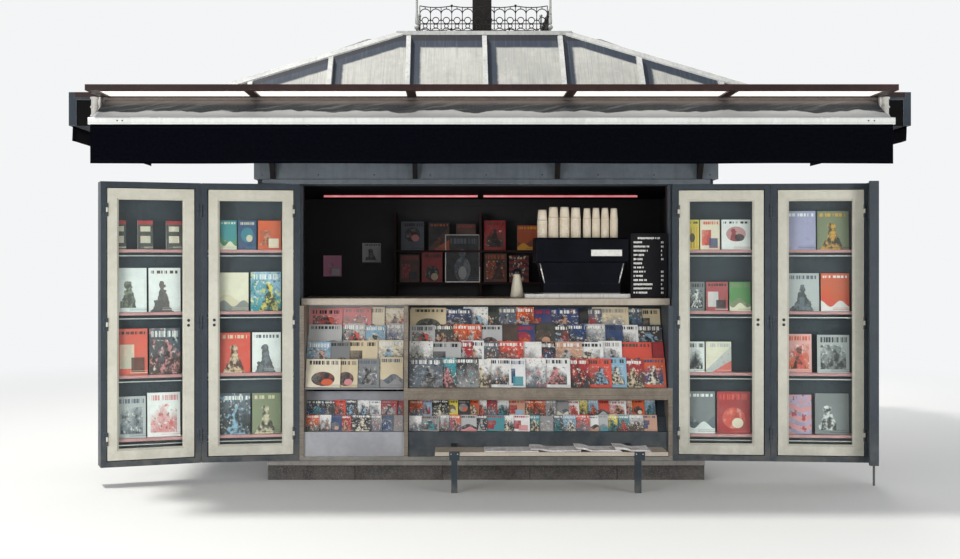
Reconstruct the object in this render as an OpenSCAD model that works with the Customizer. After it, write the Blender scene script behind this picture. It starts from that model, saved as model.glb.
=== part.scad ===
// Street kiosk: a box-shaped news and coffee stand with folding display wings,
// a glowing canopy all round and a standing-rib zinc roof with iron cresting.
// Millimetres. +Z up, the front faces -Y, the origin is on the ground under the centre.

/* [Body] */
// Width of the body, side wall to side wall
body_w = 3320; // [2900:10:4200]
// Depth of the body, front fascia to rear wall
body_d = 2340; // [1900:10:3000]
// Thickness of the walls
wall_t = 60; // [40:5:90]
// Width of the flank wall on each side of the serving opening
flank_w = 268; // [200:4:400]
// Height of the serving opening's head above the ground
opening_top = 2114; // [1980:2:2600]
// Height of the head rail over the opening
head_rail_h = 36; // [20:2:60]
// Height of the fascia board between the head rail and the canopy
fascia_h = 478; // [400:2:600]
// Width of the service doorway in the rear wall
rear_door_w = 800; // [700:10:950]
// Height of the service doorway above the floor
rear_door_h = 1900; // [1700:10:1940]

/* [Plinth and floor] */
// Height of the stone plinth
plinth_h = 140; // [80:5:170]
// How far the plinth stands in from the body's sides
plinth_inset = 100; // [40:5:160]
// Number of stone blocks along the plinth's front
plinth_blocks = 5; // [3:1:7]
// Thickness of the floor deck
floor_t = 25; // [15:1:40]

/* [Canopy] */
// How far the canopy reaches beyond the body's sides
canopy_reach_x = 1085; // [900:5:1300]
// How far the canopy reaches beyond the body at the front and the rear
canopy_reach_y = 1225; // [1000:5:1500]
// How far the ends of the front and rear beams stand in from the canopy's sides
beam_inset = 209; // [120:1:300]
// Height of the canopy frame's bars
bar_h = 37; // [30:1:60]
// Width of the canopy frame's bars
bar_w = 60; // [40:2:80]
// Depth of the glowing ring of panels
ring_d = 415; // [300:5:500]
// Thickness of the glowing panels
glow_t = 12; // [6:1:20]
// Thickness of the flat deck round the roof
deck_t = 25; // [10:1:40]

/* [Roof] */
// Rise of the roof from the deck to its flat top
roof_rise = 600; // [400:10:900]
// Half width of the square flat top
roof_top_half = 642; // [500:2:800]
// How far the eaves stand in from the sides of the deck
eave_inset = 30; // [10:5:100]
// How far the eaves reach beyond the front and rear walls
eave_over = 20; // [5:5:100]
// Thickness of the boarded roof shell
roof_t = 30; // [20:1:50]
// Width of a standing rib
rib_w = 33; // [20:1:50]
// Height of a standing rib over the sheets
rib_h = 45; // [20:1:90]
// Distance from rib to rib
rib_pitch = 566; // [400:2:700]
// Width of the hip flashing
flashing_w = 70; // [50:5:80]
// Thickness of the flashing over the sheets
flashing_t = 8; // [4:1:15]

/* [Cresting] */
// How far the railing stands in from the edge of the flat top
cresting_inset = 132; // [80:2:200]
// Height of the railing
cresting_h = 235; // [200:5:300]
// Number of openwork bays in one railing panel
cresting_bays = 12; // [8:2:16]
// Number of swags along the top of one railing panel
swags = 4; // [2:1:6]
// Height of the corner posts
corner_post_h = 330; // [260:10:400]
// Width of the square post in the middle
post_w = 150; // [80:2:180]
// Height of the square post above the flat top
post_h = 520; // [300:10:800]

/* [Awning] */
// How far the awning's front bar stands behind the canopy's front beam
awning_inset = 45; // [20:5:150]
// How far the awning falls from the canopy frame to its front bar
awning_fall = 208; // [150:2:240]
// Height of the front bar
awning_bar_h = 44; // [30:2:60]
// Drop of the valance below the front bar
valance_drop = 247; // [150:1:300]
// Thickness of the awning cloth's solid
cloth_t = 4; // [3:1:6]
// Height of the plates along the side eaves
eave_plate_h = 219; // [150:1:260]
// Thickness of the plates along the side eaves
eave_plate_t = 37; // [20:1:45]
// Drop of the side valances below the plates
side_valance_drop = 96; // [60:2:140]
// How far behind the middle the side plates and side valances end
eave_back = 370; // [100:10:1900]

/* [Display cases] */
// Width of one display case
leaf_w = 690; // [560:5:840]
// Depth of a display case
leaf_t = 165; // [140:1:200]
// Gap between two cases at their fold
leaf_gap = 4; // [3:1:8]
// Gap between a display case and the flank wall behind it
case_clear = 25; // [15:1:60]
// Angle of the left inner case off the front
left_inner_turn = 9.7; // [2:0.1:30]
// Angle of the left outer case off the front
left_outer_turn = 20.6; // [2:0.1:40]
// Angle of the right inner case off the front
right_inner_turn = 4.6; // [2:0.1:30]
// Angle of the right outer case off the front
right_outer_turn = 5.2; // [2:0.1:40]
// Thickness of the case's sheet sides and back
case_wall = 15; // [10:1:20]
// Width of the case's front border
border_w = 40; // [30:1:50]
// Thickness of the case's front border behind the door
border_t = 12; // [8:1:16]
// Thickness of a glazed door
door_t = 30; // [24:1:40]
// Width of the door's stiles and rails
stile_w = 78; // [60:2:94]
// Width and depth of the bevel round the pane
bevel = 14; // [6:1:20]
// Gap between door and border at the hinges, the top and the bottom
door_gap = 6; // [5:0.5:8]
// Gap between door and border at the lock
lock_gap = 8; // [7:0.5:10]
// Thickness of the panes
glass_t = 6; // [4:1:8]
// Radius of the hinge knuckles
knuckle_r = 8; // [6:0.5:10]
// Length of one hinge knuckle
knuckle_l = 30; // [20:1:40]
// Thickness of a shelf
shelf_t = 20; // [12:1:25]
// Height from shelf to shelf
shelf_pitch = 440; // [360:5:540]
// Height of the lowest shelf above the case's foot
shelf_first = 185; // [120:5:220]
// Least height kept free over the top shelf
shelf_headroom = 300; // [200:10:400]

/* [Counter and racks] */
// Height of the counter's top
counter_z = 1295; // [1050:5:1350]
// Thickness of the counter board
counter_t = 50; // [30:1:60]
// Depth of the counter board
counter_d = 620; // [500:10:700]
// How far the counter's edge stands behind the racks' front
counter_back = 120; // [80:5:200]
// Height of the upper rack's foot above the ground
rack_foot = 655; // [600:5:700]
// Rows of magazines in the upper rack
rack_rows = 4; // [3:1:5]
// Height from row to row in the upper rack
rack_row_h = 119; // [90:1:125]
// Rows of magazines in the lower rack
low_rows = 2; // [1:1:2]
// Height of one row in the lower rack
low_row_h = 100; // [80:5:110]
// Depth of the ledge under one row
ledge_d = 42; // [30:1:50]
// Lean of a row's backrest, forward to back
row_lean = 38; // [20:1:50]
// Thickness of the rack's sheet
sheet_t = 12; // [8:1:16]
// Height of the wooden lip
lip_h = 85; // [60:5:100]
// Thickness of the wooden lip
lip_t = 20; // [15:1:30]
// Thickness of the wooden cheeks
cheek_t = 28; // [18:1:40]
// Width of the narrow display bay on the left
left_bay_w = 716; // [500:4:900]
// Height of the lower racks' foot above the ground
kick_top = 340; // [300:5:380]

/* [Bench] */
// Length of the newspaper bench
bench_l = 1560; // [1200:10:1800]
// Depth of the bench board
bench_d = 250; // [200:5:300]
// Thickness of the bench board
bench_t = 24; // [18:1:40]
// Height of the bench
bench_z = 284; // [240:2:320]
// Distance from the kiosk's front to the bench's front edge
bench_reach = 610; // [550:5:700]
// Distance from the centre to the middle of the bench
bench_x = 420; // [200:10:450]

/* [Coffee machine] */
// Width of the coffee machine
machine_w = 670; // [500:10:800]
// Height of the coffee machine
machine_h = 440; // [380:5:480]
// Depth of the coffee machine
machine_d = 420; // [350:10:450]
// Distance from the centre to the machine's left side
machine_x = 371; // [200:1:450]
// Height of a stack of cups
cup_stack_h = 230; // [120:10:300]

/* [Hidden] */
$fn = 48;
// Length by which a cutting shape runs past the face that it cuts.
past = 1;

body_half = body_w / 2;
inner_half = body_half - wall_t;
opening_half = inner_half - flank_w;
front_y = -body_d / 2;
rear_y = body_d / 2;
flank_y = front_y + leaf_t + case_clear;
floor_z = plinth_h + floor_t;
ceiling_z = opening_top + head_rail_h;
canopy_z = ceiling_z + fascia_h;
side_half = body_half + canopy_reach_x;
beam_half = side_half - beam_inset;
beam_y = rear_y + canopy_reach_y;
strut_pitch = 2 * beam_half / 5;
ring_y = beam_y - ring_d;
eave_end = ring_y + bar_w / 2;
deck_half = side_half - ring_d;
plate_in = side_half - eave_plate_t;
roof_base = canopy_z + bar_h + deck_t;
roof_top = roof_base + roof_rise;
eave_half_w = deck_half - eave_inset;
eave_half_d = rear_y + eave_over;

// Box between two corners.
module span(low, high) {
    translate(low) cube(high - low);
}

// The same shape on the left and the right.
module both_sides() {
    children();
    mirror([1, 0, 0]) children();
}

// The same shape at the front and the rear.
module front_and_rear() {
    children();
    mirror([0, 1, 0]) children();
}

// Extrudes an outline drawn in Y and Z along X, between two X values.
module along_x(x0, x1) {
    translate([x0, 0, 0])
        rotate([90, 0, 90])
            linear_extrude(x1 - x0)
                children();
}

// Extrudes an outline drawn in X and Z along Y, between two Y values.
module along_y(y0, y1) {
    translate([0, y1, 0])
        rotate([90, 0, 0])
            linear_extrude(y1 - y0)
                children();
}

// Board along X with its front edges chamfered; low and high are its corners.
module edged_board(low, high, chamfer) {
    along_x(low[0], high[0])
        polygon([
            [high[1], low[2]],
            [low[1] + chamfer, low[2]],
            [low[1], low[2] + chamfer],
            [low[1], high[2] - chamfer],
            [low[1] + chamfer, high[2]],
            [high[1], high[2]]
        ]);
}

// Stone plinth with a groove at each joint of its front and rear blocks.
plinth_half = body_half - plinth_inset;
groove = 8;
module plinth() {
    block = 2 * plinth_half / plinth_blocks;
    color("#2f2c2b")
        difference() {
            span([-plinth_half, front_y, 0], [plinth_half, rear_y, plinth_h]);
            front_and_rear()
                for (k = [1 : plinth_blocks - 1])
                    translate([-plinth_half + k * block, front_y, -past])
                        rotate([0, 0, 45])
                            translate([-groove / 2, -groove / 2, 0])
                                cube([groove, groove, plinth_h + 2 * past]);
        }
}

// Floor deck with a metal nosing along the serving side.
nosing_h = 35;
nosing_t = 20;
module floor_deck() {
    color("#b5b1ab")
        union() {
            span([-inner_half, flank_y, plinth_h], [inner_half, rear_y - wall_t, floor_z]);
            span([-opening_half, front_y, plinth_h], [opening_half, flank_y, floor_z]);
            edged_board(
                [-plinth_half, front_y - nosing_t, plinth_h - nosing_h],
                [plinth_half, front_y, plinth_h],
                4
            );
        }
}

// Side walls with a raised frame round two sunk panels.
panel_sink = 12;
rail_w = 120;
module side_wall() {
    panel_d = (rear_y - flank_y - 3 * rail_w) / 2;
    panel_h = canopy_z - plinth_h - 2 * rail_w - eave_plate_h;
    difference() {
        span([inner_half, flank_y, plinth_h], [body_half, rear_y, canopy_z]);
        for (k = [0, 1])
            translate([body_half - panel_sink, flank_y + rail_w + k * (panel_d + rail_w), plinth_h + rail_w])
                cube([panel_sink + past, panel_d, panel_h]);
    }
}
module side_walls() {
    color("#4a5258") both_sides() side_wall();
}

// Rear wall between the side walls, with its doorway cut through.
door_half = rear_door_w / 2;
door_top = floor_z + rear_door_h;
module rear_wall() {
    color("#4a5258")
        difference() {
            span([-inner_half, rear_y - wall_t, floor_z], [inner_half, rear_y, canopy_z]);
            span([-door_half, rear_y - wall_t - past, floor_z - past], [door_half, rear_y + past, door_top]);
        }
}

// Closed service door in the rear doorway: sunk panels, a lever handle and three hinges.
door_sink = 8;
lever_z = 1020;
lever_out = 50;
lever_l = 130;
rear_knuckle_r = 10;
rear_knuckle_l = 90;
hinge_leaf_w = 40;
hinge_leaf_t = 4;
module service_panel() {
    panel_h = (rear_door_h - 3 * rail_w) / 2;
    difference() {
        span([-door_half, rear_y - wall_t + door_sink, floor_z], [door_half, rear_y - door_sink, door_top]);
        for (k = [0, 1])
            translate([
                -door_half + rail_w,
                rear_y - door_sink - panel_sink,
                floor_z + rail_w + k * (panel_h + rail_w)
            ])
                cube([rear_door_w - 2 * rail_w, panel_sink + past, panel_h]);
    }
}
module lever() {
    x = door_half - rail_w / 2;
    translate([x, rear_y - door_sink, floor_z + lever_z]) {
        rotate([-90, 0, 0]) cylinder(h = lever_out, r = 9);
        rotate([-90, 0, 0]) cylinder(h = 6, r = 24);
        translate([0, lever_out, 0])
            rotate([0, -90, 0])
                cylinder(h = lever_l, r = 9);
    }
}
module rear_hinge(z) {
    translate([-door_half, rear_y + rear_knuckle_r, z]) cylinder(h = rear_knuckle_l, r = rear_knuckle_r);
    span([-door_half - hinge_leaf_w, rear_y, z], [-door_half, rear_y + hinge_leaf_t, z + rear_knuckle_l]);
    span(
        [-door_half, rear_y - door_sink, z],
        [-door_half + hinge_leaf_w, rear_y + hinge_leaf_t, z + rear_knuckle_l]
    );
}
module service_door() {
    color("#3e464c")
        union() {
            service_panel();
            lever();
            for (z = [floor_z + 200, floor_z + rear_door_h / 2, door_top - 290])
                rear_hinge(z);
        }
}

// Fascia over the opening: a front board on a soffit box that the canopy rests on.
module front_fascia() {
    soffit = ceiling_z + wall_t / 2;
    color("#565f66")
        along_x(-body_half, body_half)
            polygon([
                [front_y, ceiling_z],
                [flank_y, ceiling_z],
                [flank_y, soffit],
                [front_y + wall_t, soffit],
                [front_y + wall_t, canopy_z],
                [front_y, canopy_z]
            ]);
}

// Frame round the opening: pale head rail and the jamb linings.
jamb_t = 40;
jamb_d = 140;
rail_front = 12;
module opening_frame() {
    color("#7d868c")
        union() {
            edged_board(
                [-inner_half, front_y - rail_front, opening_top],
                [inner_half, flank_y + wall_t, ceiling_z],
                4
            );
            both_sides()
                span([opening_half, flank_y, floor_z], [opening_half + jamb_t, flank_y + jamb_d, opening_top]);
        }
}

// Flank walls beside the opening, set back behind the display cases.
module front_jambs() {
    color("#3b4349")
        both_sides()
            span([opening_half + jamb_t, flank_y, floor_z], [inner_half, flank_y + wall_t, opening_top]);
}

// Ceiling board inside the walls.
module ceiling() {
    color("#22262a")
        span([-inner_half, flank_y + wall_t, opening_top], [inner_half, rear_y - wall_t, ceiling_z]);
}

// Two light strips under the ceiling.
strip_y = 420;
strip_w = 24;
strip_h = 15;
strip_end = 25;
module ceiling_lights() {
    color("#e0707a")
        both_sides()
            span(
                [strip_end, strip_y, opening_top - strip_h],
                [opening_half - strip_end, strip_y + strip_w, opening_top]
            );
}

// Steel frame of the canopy, first the bars that run from left to right.
strut_x = [strut_pitch / 2, 1.5 * strut_pitch];
side_strut_y = [-ring_y / 3, ring_y / 3];
module canopy_bar(low, high) {
    span([low[0], low[1], canopy_z], [high[0], high[1], canopy_z + bar_h]);
}
module beams() {
    front_and_rear() {
        canopy_bar([-beam_half, -beam_y], [beam_half, -beam_y + bar_w]);
        canopy_bar([-plate_in, -ring_y - bar_w / 2], [plate_in, -ring_y + bar_w / 2]);
    }
    both_sides()
        for (y = side_strut_y)
            canopy_bar([inner_half, y - bar_w / 2], [plate_in, y + bar_w / 2]);
}

// Knee brackets on the walls under the struts.
knee_w = 34;
knee_toe = 30;
knee_reach = 330;
module knee() {
    along_x(-knee_w / 2, knee_w / 2)
        polygon([
            [front_y, canopy_z],
            [front_y, canopy_z - fascia_h],
            [front_y - knee_toe, canopy_z - fascia_h],
            [front_y - knee_reach, canopy_z - knee_toe],
            [front_y - knee_reach, canopy_z]
        ]);
}
module canopy_beams() {
    color("#2a191b") {
        beams();
        both_sides()
            front_and_rear()
                for (x = strut_x)
                    translate([x, 0, 0]) knee();
    }
}

// The bars that run from front to rear between those beams.
module canopy_struts() {
    color("#2a191b")
        difference() {
            both_sides() {
                front_and_rear() {
                    canopy_bar([beam_half - bar_w, -beam_y], [beam_half, -ring_y]);
                    for (x = strut_x)
                        canopy_bar([x - bar_w / 2, -beam_y], [x + bar_w / 2, front_y + wall_t]);
                }
                for (x = [plate_in, deck_half])
                    canopy_bar([x - bar_w, -ring_y], [x, ring_y]);
            }
            beams();
        }
}

// Milky glowing panels in the bays of the ring.
glow_z = canopy_z + 10;
module glow_panel(low, high) {
    span([low[0], low[1], glow_z], [high[0], high[1], glow_z + glow_t]);
}
module canopy_panels() {
    color("#f4f2ea")
        union() {
            front_and_rear()
                for (k = [-2 : 2]) {
                    left = k == -2 ? -beam_half + bar_w : (k - 0.5) * strut_pitch + bar_w / 2;
                    right = k == 2 ? beam_half - bar_w : (k + 0.5) * strut_pitch - bar_w / 2;
                    glow_panel([left, -beam_y + bar_w], [right, -ring_y - bar_w / 2]);
                }
            both_sides()
                for (k = [-1 : 1])
                    glow_panel(
                        [deck_half, (k - 0.5) * 2 * ring_y / 3 + bar_w / 2],
                        [plate_in - bar_w, (k + 0.5) * 2 * ring_y / 3 - bar_w / 2]
                    );
        }
}

// Flat metal deck round the roof's foot.
module canopy_deck() {
    color("#a9a8a2")
        difference() {
            span([-deck_half, -ring_y, canopy_z + bar_h], [deck_half, ring_y, roof_base]);
            span([-inner_half, front_y + wall_t, 0], [inner_half, rear_y - wall_t, roof_base + past]);
        }
}

// Solid under four sloping planes: two trapezoids, one along each way, crossed.
// grow_x and grow_y move the side planes and the front and rear planes outwards.
module hip_block(grow_x, grow_y, low, high) {
    intersection() {
        along_y(-2 * eave_half_d, 2 * eave_half_d)
            hip_outline(eave_half_w, grow_x, low, high);
        along_x(-2 * eave_half_w, 2 * eave_half_w)
            hip_outline(eave_half_d, grow_y, low, high);
    }
}
function hip_at(half, grow, z) =
    half + (roof_top_half - half) * (z - roof_base) / roof_rise
    + grow * norm([half - roof_top_half, roof_rise]) / roof_rise;
module hip_outline(half, grow, low, high) {
    polygon([
        [-hip_at(half, grow, low), low],
        [hip_at(half, grow, low), low],
        [hip_at(half, grow, high), high],
        [-hip_at(half, grow, high), high]
    ]);
}

// Roof shell of sheets on boards: a truncated hip, hollow inside.
module roof_shell() {
    color("#cfcec8")
        difference() {
            hip_block(0, 0, roof_base, roof_top);
            hip_block(-roof_t, -roof_t, roof_base - past, roof_top - roof_t);
        }
}

// Standing ribs: on the long slopes at equal X, on the short slopes at equal Y.
// They stop clear of the hip flashing and under the skirt of the flat top.
skirt_h = 40;
skirt_t = 20;
seat_gap = 0.2;
rib_clear = flashing_w / 2 + 10;
rib_edge = 100;
long_ribs = floor((eave_half_w - rib_edge) / rib_pitch);
short_ribs = floor((eave_half_d - rib_edge) / rib_pitch);
module roof_ribs() {
    color("#b4b3ae")
        union() {
            difference() {
                intersection() {
                    hip_block(-rib_clear, rib_h, roof_base, roof_top - skirt_h);
                    for (k = [-long_ribs : long_ribs])
                        translate([k * rib_pitch - rib_w / 2, -2 * eave_half_d, 0])
                            cube([rib_w, 4 * eave_half_d, roof_top]);
                }
                hip_block(flashing_w, seat_gap, 0, roof_top + past);
            }
            difference() {
                intersection() {
                    hip_block(rib_h, -rib_clear, roof_base, roof_top - skirt_h);
                    for (k = [-short_ribs : short_ribs])
                        translate([-2 * eave_half_w, k * rib_pitch - rib_w / 2, 0])
                            cube([4 * eave_half_w, rib_w, roof_top]);
                }
                hip_block(seat_gap, flashing_w, 0, roof_top + past);
            }
        }
}

// Pale flashing round the flat top and down the four hips.
hip_turn = atan2(eave_half_d - roof_top_half, eave_half_w - roof_top_half);
flashing_lap = 60;
module roof_flashing() {
    outer = roof_top_half + skirt_t;
    inner = roof_top_half - flashing_lap;
    color("#e3e3e0")
        union() {
            difference() {
                span([-outer, -outer, roof_top - skirt_h], [outer, outer, roof_top + flashing_t]);
                hip_block(seat_gap, seat_gap, roof_base, roof_top);
                span([-inner, -inner, roof_base], [inner, inner, roof_top + flashing_t + past]);
            }
            both_sides()
                front_and_rear()
                    intersection() {
                        difference() {
                            hip_block(flashing_t, flashing_t, roof_base, roof_top);
                            hip_block(seat_gap, seat_gap, roof_base - past, roof_top + past);
                        }
                        translate([roof_top_half, -roof_top_half, roof_base])
                            rotate([0, 0, -hip_turn])
                                translate([-skirt_t, -flashing_w / 2, 0])
                                    cube([2 * eave_half_w, flashing_w, roof_rise]);
                    }
        }
}

// Iron cresting: one flat cast panel on each side of the flat top, between the corner posts.
// From the foot up it has a row of arcs, small rings, a rail, large rings, arches and swags.
cresting_half = roof_top_half - cresting_inset;
iron = 14;
corner_r = 14;
post_ball_r = 20;
scroll_w = 6;
scroll_t = 8;
eye_r = 15;
ring_r = 24;
swag_sag = 12;
knob_r = 10;
weld = 2;
panel_half = cresting_half - post_ball_r - scroll_w / 2;
bay = 2 * panel_half / cresting_bays;
eye_z = iron + bay / 2 + eye_r + scroll_w / 2 - weld;
rail_z = eye_z + eye_r - weld / 2;
ring_z = rail_z + scroll_w + ring_r - weld / 2;
swag_z = cresting_h - knob_r - swag_sag;
arch_z = swag_z - bay / 2 - swag_sag;
swag_l = 2 * panel_half / swags;
swag_r = (pow(swag_l / 2, 2) + pow(swag_sag, 2)) / (2 * swag_sag);
function bay_x(k) = -panel_half + k * bay;
function swag_height(x) =
    let (off = (x + panel_half) % swag_l - swag_l / 2)
    swag_z + swag_r - sqrt(pow(swag_r, 2) - pow(off, 2));

// Ring of the scroll bar's width round a centre line, and its upper half.
module ring_bar(r) {
    difference() {
        circle(r = r + scroll_w / 2);
        circle(r = r - scroll_w / 2);
    }
}
module arch_bar(r) {
    intersection() {
        ring_bar(r);
        translate([-2 * r, 0]) square([4 * r, 2 * r]);
    }
}
module swag() {
    intersection() {
        translate([0, swag_r]) ring_bar(swag_r);
        translate([-swag_l / 2 - past, -scroll_w]) square([swag_l + 2 * past, swag_sag + 2 * scroll_w]);
    }
}
module cresting_bay(k) {
    translate([bay_x(k + 0.5), 0]) {
        translate([0, iron]) arch_bar(bay / 2);
        translate([0, eye_z]) ring_bar(eye_r);
        translate([0, ring_z]) ring_bar(ring_r);
        translate([0, arch_z]) arch_bar(bay / 2);
        translate([-scroll_w / 2, arch_z + bay / 2])
            square([scroll_w, swag_height(bay_x(k + 0.5)) - arch_z - bay / 2]);
    }
}
module cresting_outline() {
    translate([-panel_half, 0]) square([2 * panel_half, iron]);
    translate([-panel_half, rail_z]) square([2 * panel_half, scroll_w]);
    difference() {
        translate([-panel_half, ring_z - scroll_w / 2]) square([2 * panel_half, scroll_w]);
        for (k = [0 : cresting_bays - 1])
            translate([bay_x(k + 0.5), ring_z]) circle(r = ring_r);
    }
    for (k = [0 : cresting_bays])
        translate([bay_x(k) - scroll_w / 2, 0]) square([scroll_w, swag_height(bay_x(k))]);
    for (k = [0 : cresting_bays - 1])
        cresting_bay(k);
    for (k = [0 : swags - 1])
        translate([-panel_half + (k + 0.5) * swag_l, swag_z]) swag();
    for (k = [1 : swags - 1])
        translate([-panel_half + k * swag_l, swag_z + swag_sag]) circle(r = knob_r);
}
module cresting() {
    color("#1d1c1c")
        for (turn = [0 : 90 : 270])
            rotate([0, 0, turn])
                translate([0, -cresting_half, roof_top])
                    along_y(-scroll_t / 2, scroll_t / 2) cresting_outline();
}

// Corner posts of the railing, turned like balusters, and the square post in the middle.
cap_h = 24;
cap_out = 15;
finial_r = 38;
neck_r = 16;
neck_h = 70;
module corner_post() {
    ball_z = 3 * iron + post_ball_r;
    vase_z = ball_z + post_ball_r - 2;
    translate([cresting_half, -cresting_half, roof_top])
        union() {
            rotate_extrude()
                polygon([
                    [0, 0], [post_ball_r, 0], [post_ball_r, iron], [corner_r / 2, 2 * iron],
                    [corner_r / 2, vase_z], [corner_r, vase_z + iron], [corner_r, vase_z + 2 * iron],
                    [0.65 * corner_r, vase_z + 7 * iron], [0.65 * corner_r, corner_post_h], [0, corner_post_h]
                ]);
            translate([0, 0, ball_z]) sphere(r = post_ball_r);
            translate([0, 0, corner_post_h + corner_r / 2]) sphere(r = corner_r);
        }
}
module middle_post() {
    half = post_w / 2;
    wide = half + cap_out;
    cap_z = roof_top + post_h;
    union() {
        span([-half, -half, roof_top], [half, half, cap_z]);
        span([-wide, -wide, roof_top], [wide, wide, roof_top + 2 * cap_h]);
        span([-wide, -wide, cap_z], [wide, wide, cap_z + cap_h]);
        translate([0, 0, cap_z + cap_h])
            rotate_extrude()
                polygon([
                    [0, 0], [half, 0], [half / 2, 0.4 * neck_h], [neck_r, 0.6 * neck_h],
                    [neck_r, neck_h], [0, neck_h]
                ]);
        translate([0, 0, cap_z + cap_h + neck_h + finial_r - neck_r / 2]) sphere(r = finial_r);
    }
}
module roof_posts() {
    color("#1d1c1c") {
        for (turn = [0 : 90 : 270])
            rotate([0, 0, turn]) corner_post();
        middle_post();
    }
}

// Awning cassette under the ring's inner bar, with a cast bracket at each end.
awning_half = beam_half - 6;
awning_y = beam_y - awning_inset;
awning_bar_z = canopy_z - awning_fall;
cassette_h = 60;
cassette_d = 70;
cassette_edge = 15;
cassette_front = -ring_y - cassette_d / 2;
bracket_t = 10;
bracket_h = 128;
bracket_r = 28;
module cassette_bracket() {
    foot = canopy_z - bracket_h;
    span([awning_half, cassette_front, foot], [awning_half + bracket_t, cassette_front + cassette_d, canopy_z]);
    translate([awning_half + bracket_t + bracket_r, -eave_end - bracket_r - 2, foot]) {
        cylinder(h = bracket_h, r = bracket_r - 6);
        for (z = [0, bracket_h / 2 - 6, bracket_h - 12])
            translate([0, 0, z]) cylinder(h = 12, r = bracket_r);
    }
    span(
        [awning_half, cassette_front - bracket_r, foot],
        [awning_half + bracket_r, -eave_end, canopy_z]
    );
}
module awning_cassette() {
    back = cassette_front + cassette_d;
    color("#e6e9e6")
        union() {
            along_x(-awning_half, awning_half)
                polygon([
                    [back, canopy_z],
                    [back, canopy_z - cassette_h],
                    [cassette_front + cassette_edge, canopy_z - cassette_h],
                    [cassette_front, canopy_z - cassette_h + cassette_edge],
                    [cassette_front, canopy_z]
                ]);
            both_sides() cassette_bracket();
        }
}

// Front bar of the awning, with a groove along its face and chamfered edges.
awning_bar_d = 40;
bar_groove = 3;
module awning_front_bar() {
    front = -awning_y;
    back = front + awning_bar_d;
    foot = awning_bar_z;
    top = awning_bar_z + awning_bar_h;
    color("#eceeea")
        along_x(-awning_half, awning_half)
            polygon([
                [back, foot],
                [front, foot],
                [front, foot + 8],
                [front + bar_groove, foot + 8],
                [front + bar_groove, foot + 12],
                [front, foot + 12],
                [front, top - 2 * bar_groove],
                [front + 2 * bar_groove, top],
                [back, top]
            ]);
}

// Folding arms under the cloth, from the cassette to the front bar.
arm_r = 15;
shoulder_r = 22;
shoulder_h = 45;
elbow_r = 26;
elbow_h = 48;
elbow_end = 380;
upper_arm = 900;
wrist_size = [40, 44, 30];
module arm_link(a, b) {
    away = b - a;
    translate(a)
        rotate([0, acos(away[2] / norm(away)), atan2(away[1], away[0])])
            cylinder(h = norm(away), r = arm_r);
}
module awning_arms() {
    elbow_x = awning_half - elbow_end;
    shoulder_x = elbow_x - upper_arm;
    shoulder = [shoulder_x, -ring_y - 5, canopy_z - cassette_h - shoulder_h / 2];
    elbow = [elbow_x, -(ring_y + awning_y) / 2 - 10, shoulder[2] - shoulder_h];
    wrist = [shoulder_x + 150, -awning_y + awning_bar_d + wrist_size[1] / 2, awning_bar_z + wrist_size[2] / 2];
    color("#15171a")
        both_sides()
            union() {
                arm_link(shoulder, elbow);
                arm_link(elbow, wrist);
                translate(elbow - [0, 0, elbow_h / 2]) cylinder(h = elbow_h, r = elbow_r);
                translate(shoulder - [0, 0, shoulder_h / 2]) cylinder(h = shoulder_h, r = shoulder_r);
                translate(wrist - wrist_size / 2) cube(wrist_size);
            }
}

// Awning cloth: a sloping sheet from the cassette to the front bar.
cloth_end = 20;
cloth_head = 20;
module awning_fabric() {
    top = canopy_z - cloth_head;
    foot = awning_bar_z + awning_bar_h;
    color("#3d4043")
        along_x(-awning_half + cloth_end, awning_half - cloth_end)
            polygon([
                [cassette_front, top],
                [-awning_y, foot],
                [-awning_y, foot + cloth_t],
                [cassette_front, top + cloth_t]
            ]);
}

// Valance hanging from the front bar.
valance_end = 15;
module awning_valance() {
    color("#0a0b12")
        span(
            [-awning_half + valance_end, -awning_y, awning_bar_z - valance_drop],
            [awning_half - valance_end, -awning_y + cloth_t, awning_bar_z]
        );
}

// Plates along the front of the side eaves with a raised rim, their front ends turned in
// towards the awning.
eave_top = canopy_z + bar_h;
eave_foot = eave_top - eave_plate_h;
rim_w = 26;
rim_t = 5;
return_t = 12;
module side_eaves() {
    x_in = awning_half + bracket_t;
    color("#8b8f92")
        both_sides() {
            difference() {
                span([plate_in, -eave_end, eave_foot], [side_half, eave_back, eave_top]);
                span(
                    [side_half - rim_t, -eave_end + rim_w, eave_foot + rim_w],
                    [side_half + past, eave_back - rim_w, eave_top - rim_w]
                );
            }
            difference() {
                span([x_in, -eave_end, eave_foot], [plate_in, -eave_end + return_t, canopy_z]);
                span(
                    [x_in - past, -eave_end - past, eave_foot - past],
                    [plate_in - rim_w / 2, -eave_end + rim_t, canopy_z - rim_w / 2]
                );
            }
        }
}

// Valances hanging from the side plates.
side_valance_in = 20;
module side_valances() {
    color("#0a0b12")
        both_sides()
            span(
                [side_half - side_valance_in, -ring_y, eave_foot - side_valance_drop],
                [side_half - side_valance_in + cloth_t, eave_back - bar_w / 2, eave_foot]
            );
}

// Places a case drawn with its inner front edge at the origin and its width along +X.
// index counts the cases from the left: 1 and 4 are the outer ones.
function is_left(index) = index < 3;
function is_outer(index) = index == 1 || index == 4;
function inner_turn(index) = is_left(index) ? left_inner_turn : right_inner_turn;
function outer_turn(index) = is_left(index) ? left_outer_turn : right_outer_turn;
function leaf_turn(index) = is_outer(index) ? outer_turn(index) : inner_turn(index);
function leaf_start(index) =
    let (reach = is_outer(index) ? leaf_w + leaf_gap : 0)
    [opening_half + reach * cos(inner_turn(index)), front_y - reach * sin(inner_turn(index)), 0];
module place_leaf(index) {
    mirror([is_left(index) ? 1 : 0, 0, 0])
        translate(leaf_start(index))
            rotate([0, 0, -leaf_turn(index)])
                children();
}

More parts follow.
